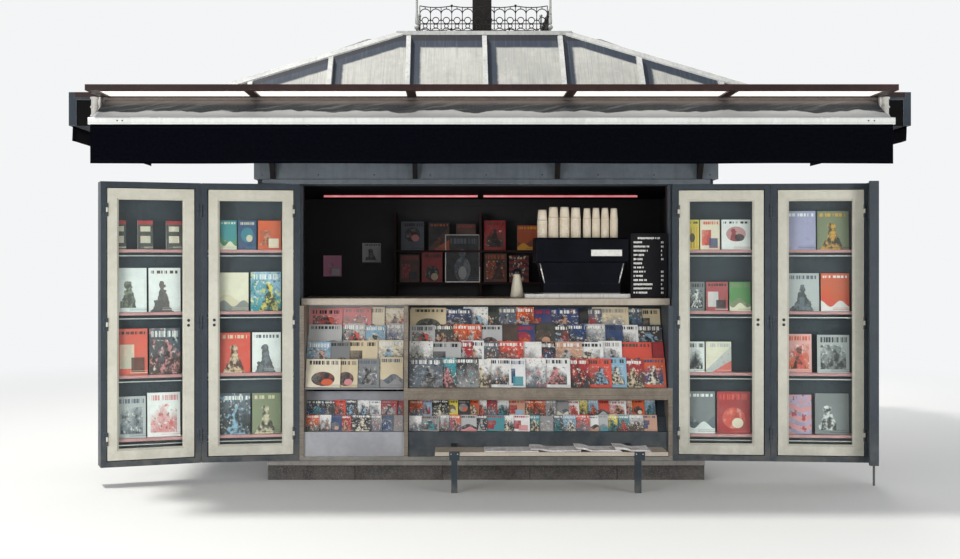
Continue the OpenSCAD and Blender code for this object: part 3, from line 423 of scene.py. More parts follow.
def pane_glass():
    """Clear glass that lets lamp light through to what stands behind it."""
    tree, shader = new_material("clear_pane")
    fill(shader, {"Base Color": "#eef4f3", "Transmission Weight": 1.0, "IOR": 1.28})
    smear = noise(here(tree), 5.0, 4, 0.6)
    feed(shader.inputs["Roughness"], ease(smear, 0.5, 0.8) * 0.04)
    through = add(tree, "BsdfTransparent", Color="#e4ebea")
    share(ray(tree, "Shadow"), shader, through, tree.nodes["Material Output"].inputs["Surface"])


def printed():
    """Coated paper with the cover print; its colours and kind come from the piece's attributes."""
    tree, shader = new_material("cover_print")
    place = here(tree, "UV")
    paper, ink, accent, facts = (
        Field(add(tree, "Attribute", {"attribute_name": name}).outputs[output])
        for name, output in (("paper_tint", "Color"), ("ink_tint", "Color"), ("accent_tint", "Color"),
                             ("print_facts", "Vector")))
    kind, seed = split(facts)[:2]
    colour = cover_print(place, paper, ink, accent, kind, seed)
    rub = cloudy(here(tree), 14.0)
    feed(shader.inputs["Base Color"], tint(rub * 0.14, colour, "#8b8178"))
    feed(shader.inputs["Roughness"], 0.3 + rub * 0.2)
    relief(shader, grain(here(tree), (160.0, 160.0, 160.0)), 0.0003)


def cloth(name, tone, shade, pale=None, hem=(), loose_thread="#23252e"):
    """Woven cloth on a UV map in metres: threads, soft fading, sewn hems at the given heights of
    the map. Where pale is given: painted highlights along slanting folds, a browner band at the head,
    and past its start a strip with a wavy edge, painted sunlight in the tone of sunlit cloth."""
    tree, shader = new_material(name)
    place = here(tree, "UV")
    u, v = split(place)[:2]
    height, fade = weave(place)
    colour = tint(ease(fade, 0.35, 0.7), tone, shade)
    if pale:
        start, sunlit_tone = pale
        edge = v + (calc("SINE", u * 14.0) * 0.01 + (noise(place, 3.6, 4, 0.62) - 0.5) * 0.13)
        # Painted highlights along slanting folds of the cloth.
        fold_highlights = noise(join((u + v * 1.9) * 8.0, v * 4.0), 1.0, 4, 0.65)
        colour = tint(ease(fold_highlights, 0.5, 0.66) * 0.45, colour, "#7d7f80")
        colour = tint(ease(v, 0.105, 0.02) * 0.65, colour, "#7d736d")
        # Painted sunlight: the strip past start takes the tone of sunlit cloth.
        colour = tint(ease(edge, start, start + 0.022), colour, sunlit_tone)
    stitch = 0.0
    for line in hem:
        near = calc("COMPARE", v, line, 0.0012)
        stitch = stitch + near * (calc("SINE", u * 900.0) > -0.3)
    colour = tint(stitch * 0.35, colour, loose_thread)
    feed(shader.inputs["Base Color"], colour)
    feed(shader.inputs["Roughness"], 0.78 + fade * 0.15)
    shader.inputs["Specular IOR Level"].default_value = 0.03
    relief(shader, height - stitch * 0.8, 0.0004, 0.7)


def stone():
    """Dark granite: clouds, pale and black flecks from cells, and mineral stains near the ground."""
    tree, shader = new_material("granite")
    place = here(tree)
    clouds = cloudy(place, 4.0)
    # Dark stone, darkened further as painted shade under the bench.
    colour = tint(clouds, "#211e1d", "#312d2b")
    for scale, code, low in ((330.0, "#6a6561", 0.84), (260.0, "#121010", 0.74), (90.0, "#463f3b", 0.84)):
        cells = add(tree, "TexVoronoi", Vector=place, Scale=scale)
        fleck = split(Field(cells.outputs["Color"]))[0]
        colour = tint(ease(fleck, low, low + 0.05), colour, code)
    stain = ground_dirt(place, 0.16)
    colour = tint(stain * 0.4, colour, "#6b645b")
    worn = worn_edges(place, 0.006, 0.4)
    feed(shader.inputs["Base Color"], tint(worn * 0.5, colour, "#6f6862"))
    feed(shader.inputs["Roughness"], 0.5 + clouds * 0.3)
    relief(shader, grain(place, (150.0, 150.0, 150.0)), 0.0016)


def newsprint():
    """Folded newspaper on a UV map in metres: columns of fine grey lines with pictures between."""
    tree, shader = new_material("newsprint")
    place = here(tree, "UV")
    u, v = split(place)[:2]
    lines = calc("SINE", v * 1500.0) > 0.1
    columns = abs(calc("SINE", u * 62.0)) < 0.93
    cells = add(tree, "TexVoronoi", {"distance": "CHEBYCHEV"}, Vector=place, Scale=11.0)
    picture = split(Field(cells.outputs["Color"]))[0] > 0.68
    colour = tint(lines * columns * 0.4, "#e6e2de", "#9d9997")
    inky = tint(noise(place, 30.0, 4, 0.6), "#6d6768", "#b8a6a0")
    feed(shader.inputs["Base Color"], tint(picture * 0.45, colour, inky))
    shader.inputs["Roughness"].default_value = 0.85
    relief(shader, noise(here(tree), 120.0, 3, 0.5), 0.0005)


ROOF_BASE, EAVE_DROP, EAVE_HALF, HIP_RISE, FLASHING_FOOT = 2.690, 0.045, 2.300, 0.3619, 3.25
RIB_PITCH, RIB_FACE, OUT_OF_REACH = 0.566, 0.018, 9.0


def zinc_streaks_and_shade(place, colour):
    """Fine streaks down the zinc, loose pale scabs, and painted blue-grey shadow bands where the ribs,
    the top flashing and the hips cast shade, with a painted near-black shadow line right under the edge.
    The ribs stand RIB_PITCH apart, counted from the middle of each slope. A hip climbs HIP_RISE per metre
    from the corner of the eave; the side slopes have no painted shadow along it."""
    x, y, z = split(place)
    facing = split(Field(add(place.tree, "NewGeometry").outputs["True Normal"]))
    lengthwise = abs(facing[1]) > abs(facing[0])
    along = x * lengthwise + y * (1.0 - lengthwise)
    sheet = join(along, z)
    thin = noise(stretch(sheet, (95.0, 3.0, 1.0)), 1.0, 3, 0.6)
    colour = tint(ease(thin, 0.46, 0.66) * 0.5, colour, "#8d8f8e")
    scabs = ease(noise(stretch(sheet, (28.0, 14.0, 1.0)), 1.0, 5, 0.7), 0.56, 0.68)
    colour = tint(scabs * 0.35, colour, "#d2cfc5")
    past = calc("FRACT", (along - RIB_FACE) / RIB_PITCH)
    # Painted shadow cast to the right of each rib.
    rib_shadow = ease(past + noise(place, 20.0, 3, 0.6) * 0.03, 0.165, 0.125)
    foot = ROOF_BASE - EAVE_DROP + (1.0 - lengthwise) * OUT_OF_REACH
    left = foot + (EAVE_HALF + x) * HIP_RISE
    right = foot + (EAVE_HALF - x) * HIP_RISE
    height = z + noise(place, 14.0, 3, 0.6) * 0.012
    drop = calc("MINIMUM", left, FLASHING_FOOT) - height
    # Painted shadow under the top flashing and along the hips.
    edge_shadow = calc("MAXIMUM", ease(drop, 0.098, 0.08), ease(right - height, 0.064, 0.048))
    painted_shade = calc("MAXIMUM", rib_shadow, edge_shadow) * (0.97 - ease(thin, 0.5, 0.7) * 0.1)
    # Blue-grey painted shade from the shadow masks above.
    colour = tint(painted_shade, colour, "#1e2a3a")
    # Painted near-black shadow line right under the flashing.
    return tint(ease(drop, 0.034, 0.022) * 0.7, colour, "#171414")


def eave_recess_shade(place, colour):
    """Near-black painted shade in the recess of the turned-in ends of the side plates."""
    x, y, z = split(place)
    mirrored = join(abs(x), abs(y), z)
    shaded_recess = inside_box(mirrored, (2.5, 1.99, 2.4), (2.6945, 2.0065, 2.614))
    return tint(shaded_recess, colour, "#020203")


def cast_brackets(place, colour):
    """Silver paint on the cassette's end brackets."""
    x = abs(split(place)[0])
    silver = tint(noise(place, 30.0, 4, 0.6), "#d6d4ce", "#a5a199")
    return tint(x > 2.5297, colour, silver)


def pale_corner_posts(place, colour):
    """Pale grey on the railing's corner posts, with dark flecks of the iron tone in places."""
    x = abs(split(place)[0])
    dark_flecks = ease(noise(place, 45.0, 4, 0.65), 0.56, 0.6)
    paint = tint(dark_flecks, "#a8a9a3", "#3b3733")
    return tint(x > 0.3, colour, paint)


def dark_knees(place, colour):
    """Near-black on the brackets under the canopy's arms: full below z 2.5, fading out by 2.56."""
    return tint(ease(split(place)[2], 2.56, 2.5), colour, "#100c0c")


def rack_grain(place, colour):
    """Long dark grain lines in the lip, and slate paint on the right cheek over the lip."""
    lines = noise(stretch(place, (1.4, 40.0, 130.0)), 1.0, 3, 0.6)
    colour = tint(ease(lines, 0.5, 0.62) * 0.5, colour, "#564d43")
    cheek = inside_box(place, (1.3035, -1.2, 0.656), (1.4, 0.0, 1.3))
    return tint(cheek, colour, "#343d44")


def drip_marks(place, colour):
    """Tea-coloured drips on the pale tray's edge and a darker well on its top."""
    run = rain_streaks(place, 70.0, 0.2)
    low = ease(split(place)[2], 1.335, 1.32)
    pale = tint(run * 0.3, "#d6d4cd", "#8b8070")
    return tint(low, colour, pale)


# Box of the body's inside and the near-black tone the walls turn to within it.
INTERIOR = ((-1.601, -0.921, 0.16), (1.601, 1.14, 2.12), "#120e11")

stone()
coated("slate_paint", "#3f4850", "#4a545c", 0.36, edge="#6f787e", break_up=0.62, dirt=0.35, streak=0.30,
       streak_tone="#2b3238", inside=INTERIOR, gloss=0.35)
coated("fascia_paint", "#50575e", "#5c646b", 0.40, edge="#8b9298", break_up=0.62, dirt=0.35, streak=0.35,
       streak_tone="#3d444a", inside=INTERIOR, gloss=0.35)
coated("case_paint", "#2d353c", "#374047", 0.40, edge="#6c7780", break_up=0.62, dirt=0.35, streak=0.2,
       streak_tone="#1e2529", gloss=0.3)
# Floor deck: a worn metal tone, darkened further as painted shade under the bench.
coated("frame_metal", "#6f6c67", "#85827c", 0.38, metal=0.4, edge="#b5b2ab", radius=0.004, break_up=0.5,
       dirt=0.35, reach=0.4, streak=0.25, along=(14.0, 900.0, 900.0))
coated("dark_lining", "#121215", "#1b1a1e", 0.62, mottle=5.0, along=700.0, depth=0.0002, gloss=0.15)
glow("light_strip", "#d9717a", "#e88f93", 0.75, 9.0)
coated("brown_steel", "#261817", "#34221f", 0.36, edge="#604840", break_up=0.66, dirt=0.35, streak=0.3,
       streak_tone="#1d1314", extra=dark_knees, gloss=0.18)
# Painted light: the milky canopy panels are no lamp, and their emission stands in for daylight through
# them.
glow("milky_panel", "#fffaf3", "#f6f1e9", 0.95)
coated("zinc", "#c0bdb3", "#acaaa2", 0.55, mottle=2.2, edge="#c6c3ba", radius=0.004, break_up=0.5,
       along=400.0, depth=0.0002, extra=zinc_streaks_and_shade, gloss=0.3)
coated("flashing", "#d0cec8", "#bab9b4", 0.5, mottle=5.0, edge="#d6d4ce", radius=0.004, break_up=0.5,
       streak=0.4, streak_tone="#8a8b8a", pitch=40.0, along=120.0, gloss=0.3)
coated("black_iron", "#171615", "#24211f", 0.45, metal=0.3, mottle=16.0, edge="#5d5751", radius=0.002,
       break_up=0.58, along=240.0, depth=0.0008, gloss=0.2)
coated("white_metal", "#dadbd6", "#cccdc7", 0.36, mottle=4.0, edge="#b0afa8", radius=0.002, break_up=0.5,
       dirt=0.35, streak=0.22, streak_tone="#a7a59c", pitch=55.0, length=0.12, along=500.0, depth=0.0002)
coated("arm_black", "#17191d", "#22252a", 0.38, edge="#55585c", dirt=0.5, reach=0.3, gloss=0.25)
coated("leg_paint", "#252e34", "#2e383f", 0.42, edge="#5b666e", dirt=0.3, reach=0.12, gloss=0.3)
coated("cassette_metal", "#5d5450", "#4d4643", 0.36, mottle=4.0, edge="#8d857f", radius=0.002, break_up=0.5,
       dirt=0.35, streak=0.2, extra=cast_brackets, gloss=0.3)
coated("roof_iron", "#1d1a19", "#2a2523", 0.48, metal=0.2, mottle=16.0, edge="#5d5751", radius=0.002,
       break_up=0.58, along=240.0, depth=0.0008, extra=pale_corner_posts, gloss=0.2)
coated("lip_wood", "#85796a", "#6e6356", 0.5, mottle=7.0, edge="#aca294", break_up=0.5, dirt=0.25,
       along=(7.0, 160.0, 160.0), depth=0.0012, extra=rack_grain)
coated("eave_grey", "#3d444b", "#343b42", 0.45, edge="#8d9296", break_up=0.3, dirt=0.35, streak=0.3,
       streak_tone="#23282d", extra=eave_recess_shade, gloss=0.06)
coated("pink_shelf", "#c4918f", "#b98482", 0.42, mottle=6.0, edge="#dbb5b2", radius=0.002, break_up=0.5,
       dirt=0.1)
coated("door_cream", "#cdcabb", "#bfbcad", 0.38, mottle=3.0, edge="#a9a08c", radius=0.0025, break_up=0.66,
       dirt=0.45, reach=0.6, streak=0.12, streak_tone="#a8a190", along=(700.0, 700.0, 40.0), depth=0.0003)
pane_glass()
coated("counter_board", "#b9ae9e", "#a89c8c", 0.40, mottle=5.0, edge="#d6ccbd", break_up=0.5, dirt=0.2,
       along=(12.0, 260.0, 260.0), depth=0.0006)
coated("pale_rack", "#a3a3a7", "#93949a", 0.42, edge="#b4b6b6", radius=0.002, break_up=0.5, dirt=0.35)
coated("machine_navy", "#080a10", "#0d1018", 0.30, mottle=4.0, edge="#333b47", break_up=0.66, along=500.0,
       depth=0.0001, extra=drip_marks, gloss=0.07)
coated("steel", "#b8b9b7", "#9b9c9b", 0.22, metal=0.9, mottle=10.0, along=(900.0, 900.0, 30.0))
coated("shelf_dark", "#2b1716", "#3a1f1d", 0.5, mottle=6.0, along=(14.0, 200.0, 200.0), gloss=0.2)
# The awning's tones are those of the cloth in shade, and its pale strip is painted sunlight.
cloth("awning_cloth", "#35383b", "#424548", pale=(0.205, "#b4b5b5"), loose_thread="#b0b0ae")
cloth("valance_cloth", "#020308", "#07080f", hem=(0.018, 0.225))
cloth("side_cloth", "#020308", "#07080f", hem=(0.016,))
printed()
coated("page_edges", "#d9d4c6", "#c3bcab", 0.8, mottle=20.0, along=(60.0, 60.0, 1600.0), depth=0.0005)
newsprint()
coated("paper_cup", "#e6dac6", "#dccdb6", 0.55, mottle=12.0, along=300.0, depth=0.0003)
coated("cream_enamel", "#dbd2bd", "#cdc3ac", 0.25, mottle=12.0)
coated("black_plastic", "#141518", "#1d1f22", 0.34, mottle=12.0, edge="#3c3e42", radius=0.0015,
       break_up=0.5, along=600.0, depth=0.0002)
coated("chalk", "#f0eee8", "#dcdad3", 0.8, mottle=40.0)
coated("strip_silver", "#d5d3cc", "#bdbbb4", 0.28, metal=0.6, mottle=14.0, along=(900.0, 900.0, 20.0))


# ---------------------------------------------------------------- meshes
UP = np.array([0.0, 0.0, 1.0])
BOX_CORNERS = np.array([[x, y, z] for z in (0, 1) for y in (0, 1) for x in (0, 1)], float)
BOX_FACES = np.array([[0, 2, 3, 1], [4, 5, 7, 6], [0, 1, 5, 4], [1, 3, 7, 5], [3, 2, 6, 7], [2, 0, 4, 6]])
BOOK_NU, BOOK_NV = 6, 5


def strip_faces(rows, columns, wrap=False):
    """Quads of a grid of points stored row by row; wrap joins the last column to the first."""
    row = np.arange(rows - 1)[:, None]
    column = np.arange(columns if wrap else columns - 1)[None, :]
    after = (column + 1) % columns
    corners = (row * columns + column, row * columns + after, (row + 1) * columns + after,
               (row + 1) * columns + column)
    return np.stack(corners, axis=-1).reshape(-1, 4)


def shell_faces(rows, columns):
    """Quads of a front grid of points and a back one, joined round their rims, and how many of them
    are the rim's, which come last."""
    grid = np.arange(rows * columns).reshape(rows, columns)
    rim = np.concatenate([grid[0], grid[1:, -1], grid[-1, -2::-1], grid[-2:0:-1, 0]])
    after = np.roll(rim, -1)
    edge = np.stack([rim, rim + grid.size, after + grid.size, after], axis=1)
    front = strip_faces(rows, columns)
    return np.concatenate([front, front[:, ::-1] + grid.size, edge]), len(edge)


def copies(faces, each, count):
    """The same faces for many copies of a shape of that many points each."""
    return (faces[None] + each * np.arange(count)[:, None, None]).reshape(-1, faces.shape[1])


def joined(parts):
    """Points and faces of several parts as one."""
    starts = np.cumsum([0] + [len(points) for points, faces in parts])
    return (np.concatenate([points for points, faces in parts]),
            np.concatenate([faces + start for (points, faces), start in zip(parts, starts)]))


def placed(local, origin, *axes):
    """Points measured along three axes from an origin."""
    return origin + local @ np.array(axes)


def stand(name, data):
    """New object in the scene."""
    made = bpy.data.objects.new(name, data)
    bpy.context.scene.collection.objects.link(made)
    return made


def piece(name, points, faces, finish, body=BODY, uv=None, tints=(), second=None, smooth=False):
    """Mesh object from whole arrays, riding on a body. uv is one pair per point; tints are named
    arrays per point; second is (finish, mask of the faces that have it)."""
    mesh = bpy.data.meshes.new(name)
    mesh.from_pydata(np.asarray(points, np.float32).reshape(-1, 3).tolist(), [],
                     faces if isinstance(faces, list) else faces.tolist())
    if uv is not None:
        corner = np.empty(len(mesh.loops), np.int32)
        mesh.loops.foreach_get("vertex_index", corner)
        layer = mesh.uv_layers.new(name="place")
        layer.data.foreach_set("uv", np.asarray(uv, np.float32)[corner].ravel())
    for label, values in dict(tints).items():
        kind, field = ("FLOAT_COLOR", "color") if values.shape[1] == 4 else ("FLOAT_VECTOR", "vector")
        data = mesh.attributes.new(label, kind, "POINT").data
        data.foreach_set(field, values.astype(np.float32).ravel())
    mesh.materials.append(FINISH[finish])
    if second is not None:
        mesh.materials.append(FINISH[second[0]])
        mesh.polygons.foreach_set("material_index", second[1].astype(np.int32))
    if smooth:
        mesh.polygons.foreach_set("use_smooth", np.ones(len(mesh.polygons), bool))
    mesh.update()
    made = stand(name, mesh)
    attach(made, body)
    return made


def thicken(made, amount):
    """Gives a sheet its thickness."""
    solid = made.modifiers.new("thickness", "SOLIDIFY")
    solid.thickness, solid.offset = amount, 0.0


def soften(made, width):
    """Rounds a piece's edges."""
    bevel = made.modifiers.new("rounding", "BEVEL")
    bevel.width, bevel.segments = width, 2


def weld(made):
    """Merges a piece's coincident points, which closes its seams and poles."""
    work = bmesh.new()
    work.from_mesh(made.data)
    bmesh.ops.remove_doubles(work, verts=work.verts, dist=1e-5)
    bmesh.ops.dissolve_degenerate(work, edges=work.edges, dist=1e-7)
    bmesh.ops.recalc_face_normals(work, faces=work.faces)
    work.to_mesh(made.data)
    work.free()
    return made


def boxes(low, high):
    """Points and faces of one or many boxes: corner = low + (high - low) * unit corner."""
    low, high = np.atleast_2d(low), np.atleast_2d(high)
    points = low[:, None] + (high - low)[:, None] * BOX_CORNERS
    return points.reshape(-1, 3), copies(BOX_FACES, len(BOX_CORNERS), len(low))


def turned_solid(profile, sides, centre=(0.0, 0.0, 0.0)):
    """Lathe of a profile of (radius, height): x = r cos t, y = r sin t; its two ends lie on the
    axis."""
    radius, height = np.asarray(profile, float).T[..., None]
    turn = np.linspace(0, 2 * np.pi, sides, endpoint=False)
    rings = np.stack([radius * np.cos(turn), radius * np.sin(turn), height + 0 * turn], axis=-1)
    return centre + rings.reshape(-1, 3), strip_faces(len(profile), sides, wrap=True)


def across_from(axis):
    """Unit vectors square to an axis, turned from one fixed side."""
    side = np.cross(axis, [0.0, 0.31, 0.95])
    return side / np.linalg.norm(side, axis=-1, keepdims=True)


def tube(path, radius, sides=10):
    """Round bar along a path, closed at both ends: each ring stands square to the path."""
    ahead = np.gradient(path, axis=0)
    ahead /= np.linalg.norm(ahead, axis=1, keepdims=True)
    side = across_from(ahead)
    upright = np.cross(side, ahead)
    turn = np.linspace(0, 2 * np.pi, sides, endpoint=False)[None, :, None]
    rings = path[:, None] + radius * (np.cos(turn) * side[:, None] + np.sin(turn) * upright[:, None])
    points = rings.reshape(-1, 3)
    count = len(points)
    ends = [list(range(sides))[::-1], list(range(count - sides, count))]
    return points, strip_faces(len(path), sides, wrap=True).tolist() + ends


def booklets(name, rows):
    """Magazines and books: a front and a back sheet of BOOK_NU by BOOK_NV points joined round their
    rims. Out from the back = thickness + bow * (1 - (2u - 1)^2) + curl * v^3 at the front."""
    origin, right, up = (np.array([row[key] for row in rows], float)[:, None, None]
                         for key in ("origin", "right", "up"))
    right, up = (axis / np.linalg.norm(axis, axis=-1, keepdims=True) for axis in (right, up))
    width, height, thick, bow, curl = (
        np.array([row.get(key, 0.0) for row in rows])[:, None, None, None]
        for key in ("width", "height", "thick", "bow", "curl")
    )
    place = np.stack(np.meshgrid(np.linspace(0, 1, BOOK_NU), np.linspace(0, 1, BOOK_NV)), axis=-1)
    u, v = place[..., :1], place[..., 1:]
    rise = bow * (1 - (2 * u - 1) ** 2) + curl * v ** 3
    back = origin + u * width * right + v * height * up + rise * np.cross(right, up)
    points = np.stack([back + thick * np.cross(right, up), back], axis=1)
    faces, rim = shell_faces(BOOK_NV, BOOK_NU)
    each, count = 2 * u.size, len(rows)
    tints = {f"{key}_tint": np.repeat([linear(TONE[row[key]]) for row in rows], each, axis=0)
             for key in ("paper", "ink", "accent")}
    facts = [(KINDS.index(row["kind"]), row["seed"], 0.0) for row in rows]
    tints["print_facts"] = np.repeat(facts, each, axis=0)
    paged = np.tile(np.arange(len(faces)) >= len(faces) - rim, count)
    piece(name, points, copies(faces, each, count), "cover_print", tints=tints,
          uv=np.tile(place.reshape(-1, 2), (2 * count, 1)), second=("page_edges", paged))


# ---------------------------------------------------------------- CAD nodes
DRESS = {
    "granite": "plinth", "frame_metal": "floor_deck", "fascia_paint": "opening_frame front_fascia",
    "slate_paint": "side_walls rear_wall service_door front_jambs",
    "case_paint": "magazine_rack closing_post case_1 case_2 case_3 case_4",
    "dark_lining": "ceiling menu_board", "light_strip": "ceiling_lights",
    "brown_steel": "canopy_beams canopy_struts", "milky_panel": "canopy_panels",
    "zinc": "canopy_deck roof_shell", "flashing": "roof_ribs roof_flashing", "black_iron": "cresting",
    "roof_iron": "roof_posts", "cassette_metal": "awning_cassette", "white_metal": "awning_front_bar",
    "arm_black": "awning_arms", "leg_paint": "bench_legs", "eave_grey": "side_eaves",
    "pink_shelf": "case_shelves", "counter_board": "counter_top bench_board", "lip_wood": "rack_trim",
    "pale_rack": "left_display", "machine_navy": "coffee_machine", "shelf_dark": "back_shelves",
    "awning_cloth": "awning_fabric", "valance_cloth": "awning_valance", "side_cloth": "side_valances",
    "paper_cup": "cup_stacks", "cream_enamel": "carafe", "door_cream": "door_1 door_2 door_3 door_4",
    "clear_pane": "glass_1 glass_2 glass_3 glass_4",
}
for finish, nodes in DRESS.items():
    for node in nodes.split():
        NODES[node].data.materials.clear()
        NODES[node].data.materials.append(FINISH[finish])


# ---------------------------------------------------------------- cloth
AWNING_X, AWNING_HEAD, AWNING_FOOT = 2.508, (-2.017, 2.610), (-2.332, 2.4665)
awning_run = math.dist(AWNING_HEAD, AWNING_FOOT)


def awning_cloth():
    """Cloth from the cassette to the front bar: a straight slope that sags by 4 v (1 - v), with
    ripples across it that grow towards the bar, z = a v sin(12 x + 2 sin 1.7 x)."""
    x, v = np.meshgrid(np.linspace(-AWNING_X, AWNING_X, 420), np.linspace(0, 1, 28))
    y = AWNING_HEAD[0] + v * (AWNING_FOOT[0] - AWNING_HEAD[0])
    z = AWNING_HEAD[1] + v * (AWNING_FOOT[1] - AWNING_HEAD[1])
    slack = 4 * v * (1 - v)
    ripple = (np.sin(12 * x + 2 * np.sin(1.7 * x)) + 0.7 * np.sin(29 * x + 3 * v)
              + 0.35 * np.sin(61 * x - 4 * v))
    z = z - 0.006 * slack + 0.0045 * slack * (0.4 + v) * ripple
    made = piece("awning_cloth", np.stack([x, y, z], -1), strip_faces(28, 420), "awning_cloth",
                 uv=np.stack([x, v * awning_run], -1).reshape(-1, 2), smooth=True)
    thicken(made, 0.0014)
    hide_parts("awning_fabric")


def hanging(name, along, across, top, drop, axis, finish, swing, replaced):
    """Cloth hanging from a straight edge: out of its plane it moves by swing * t^1.5 times two
    sines along the edge, t being the share of the drop; its foot dips a little between."""
    count = int((along[1] - along[0]) / 0.014)
    s, t = np.meshgrid(np.linspace(along[0], along[1], count), np.linspace(0, 1, 26))
    wave = np.sin(9.5 * s + 1.3 * np.sin(1.3 * s)) + 0.45 * np.sin(23.0 * s + 1.0)
    off = across + swing * t ** 1.5 * wave
    z = top - drop * t * (1 - 0.006 * (1 + np.sin(4.1 * s)))
    points = np.stack([s, off, z] if axis == 0 else [off, s, z], -1)
    faces = strip_faces(26, count)
    outward = axis == 1 and across > 0
    made = piece(name, points, faces if outward else faces[:, ::-1], finish,
                 uv=np.stack([s, (1 - t) * drop], -1).reshape(-1, 2), smooth=True)
    thicken(made, 0.0016)
    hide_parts(replaced)


awning_cloth()
low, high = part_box("awning_valance")
hanging("front_valance", (low.x, high.x), (low.y + high.y) / 2, high.z, high.z - low.z, 0,
        "valance_cloth", 0.0035, "awning_valance")
low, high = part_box("side_valances")
for side_name, side_x in (("left", low.x), ("right", high.x)):
    inward = -math.copysign(0.002, side_x)
    hanging(f"side_valance_{side_name}", (low.y, high.y), side_x + inward, high.z, high.z - low.z, 1,
            "side_cloth", 0.004, "side_valances")


# ---------------------------------------------------------------- display cases
LEAF_W, LOCK_STILE, SHELF_TOPS = 0.690, 0.088, (1.645, 1.205, 0.765, 0.325)
# Which way each case runs from its start, the start's x and y, and its turn in degrees.
LEAVES = {1: (-1, (2.0161, -1.2869), 20.6), 2: (-1, (1.332, -1.17), 9.7),
          3: (1, (1.332, -1.17), 4.6), 4: (1, (2.0238, -1.2257), 5.2)}
TONE = dict(
    crimson="#a3262b", cream="#e6dcc3", teal="#2f8b93", rust="#b4532b", ash="#b7b8b6",
    slate="#55606a", sand="#d6c6a4", lilac="#a49fbd", olive="#7c8262", night="#1d2126",
    white="#e9e8e4", sky="#8fb6cc", rose="#d58c8c", amber="#e0a22e", leaf="#4f8a4a",
    orange="#d5592a", coral="#d8503f", brown="#4d342a", navy="#27406b", pink="#e2a9a4",
    lemon="#e3cf55", grey="#7d8080", blush="#f3a3c2", smoke="#8f8d8c", umber="#4a3b33",
    moss="#343b36", skin="#c89b80"
)
KINDS = "sun slope waves plate vase stripes blocks hills windows photo".split()
# The covers of each case, shelf by shelf from the top: left, right and height in millimetres, paper,
# ink, accent, drawing and, where it is chosen, the drawing's seed.
CASE_COVERS = {
    1: ("90 180 208 night cream crimson windows; 262 366 208 night cream crimson windows; "
        "458 566 208 night cream crimson windows",
        "122 325 320 white teal olive plate; 338 560 320 white ash brown photo 0.22",
        "122 330 335 coral cream brown blocks; 345 560 335 slate brown rose photo",
        "122 318 300 ash slate night plate; 330 560 320 white rose coral plate"),
    2: ("128 246 215 teal leaf cream hills; 255 385 215 navy teal sand sun; "
        "398 560 215 orange rust cream blocks",
        "128 330 285 cream sand grey hills; 345 560 290 sky teal lemon photo",
        "128 342 295 coral rust sand photo 0.38; 356 560 295 white ash slate photo 0.34",
        "128 342 300 slate night sky photo; 356 560 300 olive night sand photo"),
    3: ("100 196 222 lemon amber night stripes; 204 342 222 cream coral navy blocks; "
        "356 560 222 white crimson night sun",
        "100 235 215 grey night white plate; 246 400 215 crimson white night blocks; "
        "412 560 215 leaf olive cream hills",
        "100 235 225 white night grey plate; 246 425 225 cream ash coral slope",
        "100 310 310 grey slate white hills; 325 560 310 crimson coral cream sun"),
    4: ("112 325 285 lilac slate white photo; 338 560 285 olive brown amber photo",
        "112 350 280 ash grey slate photo 0.49; 362 560 280 orange coral white hills",
        "112 298 285 pink orange coral plate; 336 560 280 ash night grey plate",
        "112 298 290 rose lilac crimson waves; 325 560 300 grey night white plate"),
}


def read_covers(text):
    """Numbers in metres, then words, of the covers listed in a text."""
    for cover in text.split("; "):
        words = cover.split()
        sizes = [int(word) / 1000 for word in words if word.lstrip("-").isdigit()]
        yield sizes, words[len(sizes):]


def leaf_axes(number):
    """Origin, the viewer's right and the inward direction of a case, as vectors."""
    side, start, turn = LEAVES[number]
    angle = math.radians(turn)
    along = np.array([side * math.cos(angle), -math.sin(angle), 0.0])
    inward = np.array([side * math.sin(angle), math.cos(angle), 0.0])
    origin = np.array([side * start[0], start[1], 0.0])
    if side < 0:
        return origin + along * LEAF_W, -along, inward
    return origin, along, inward


def case_prints():
    """Covers standing on the shelves of the four cases, leaning back a little."""
    rows = []
    for number, shelves in CASE_COVERS.items():
        origin, right, inward = leaf_axes(number)
        for top, covers in zip(SHELF_TOPS, shelves):
            for (left, end, height), (paper, ink, accent, kind, *seed) in read_covers(covers):
                book = height < 0.23
                foot = 0.076 + 0.018 * rng.random()
                lean = 0.035 + 0.03 * rng.random()
                rows.append(dict(
                    origin=origin + right * left + inward * (foot + 0.008) + UP * (top + 0.0005),
                    right=right, up=UP + inward * lean, width=end - left, height=height * 0.97,
                    thick=0.022 if book else 0.006, bow=0.0 if book else 0.003 * rng.random(),
                    curl=0.0 if book else -0.004 * rng.random(), paper=paper, ink=ink, accent=accent,
                    kind=kind, seed=float((seed + [round(rng.random(), 3)])[0])))
    booklets("case_prints", rows)


def shelf_rails():
    """Slim pale rail under the front of each shelf."""
    local, faces = boxes([(0.018, 0.054, top - 0.047) for top in SHELF_TOPS],
                         [(LEAF_W - 0.018, 0.060, top - 0.041) for top in SHELF_TOPS])
    parts = [(placed(local, *leaf_axes(number), UP), faces) for number in LEAVES]
    piece("shelf_rails", *joined(parts), "strip_silver")


def fold_gaskets():
    """Rubber strip in the fold between the two cases of each wing."""
    low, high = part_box("case_2")
    parts = []
    for near, far in ((2, 1), (3, 4)):
        side, start, turn = LEAVES[near]
        near_x = start[0] + LEAF_W * math.cos(math.radians(turn))
        far_x, far_y = LEAVES[far][1]
        x, y = side * (near_x + far_x) / 2, far_y + 0.006
        parts.append(boxes((x - 0.005, y, low.z + 0.004), (x + 0.005, y + 0.004, high.z - 0.004)))
    piece("fold_gaskets", *joined(parts), "black_plastic")


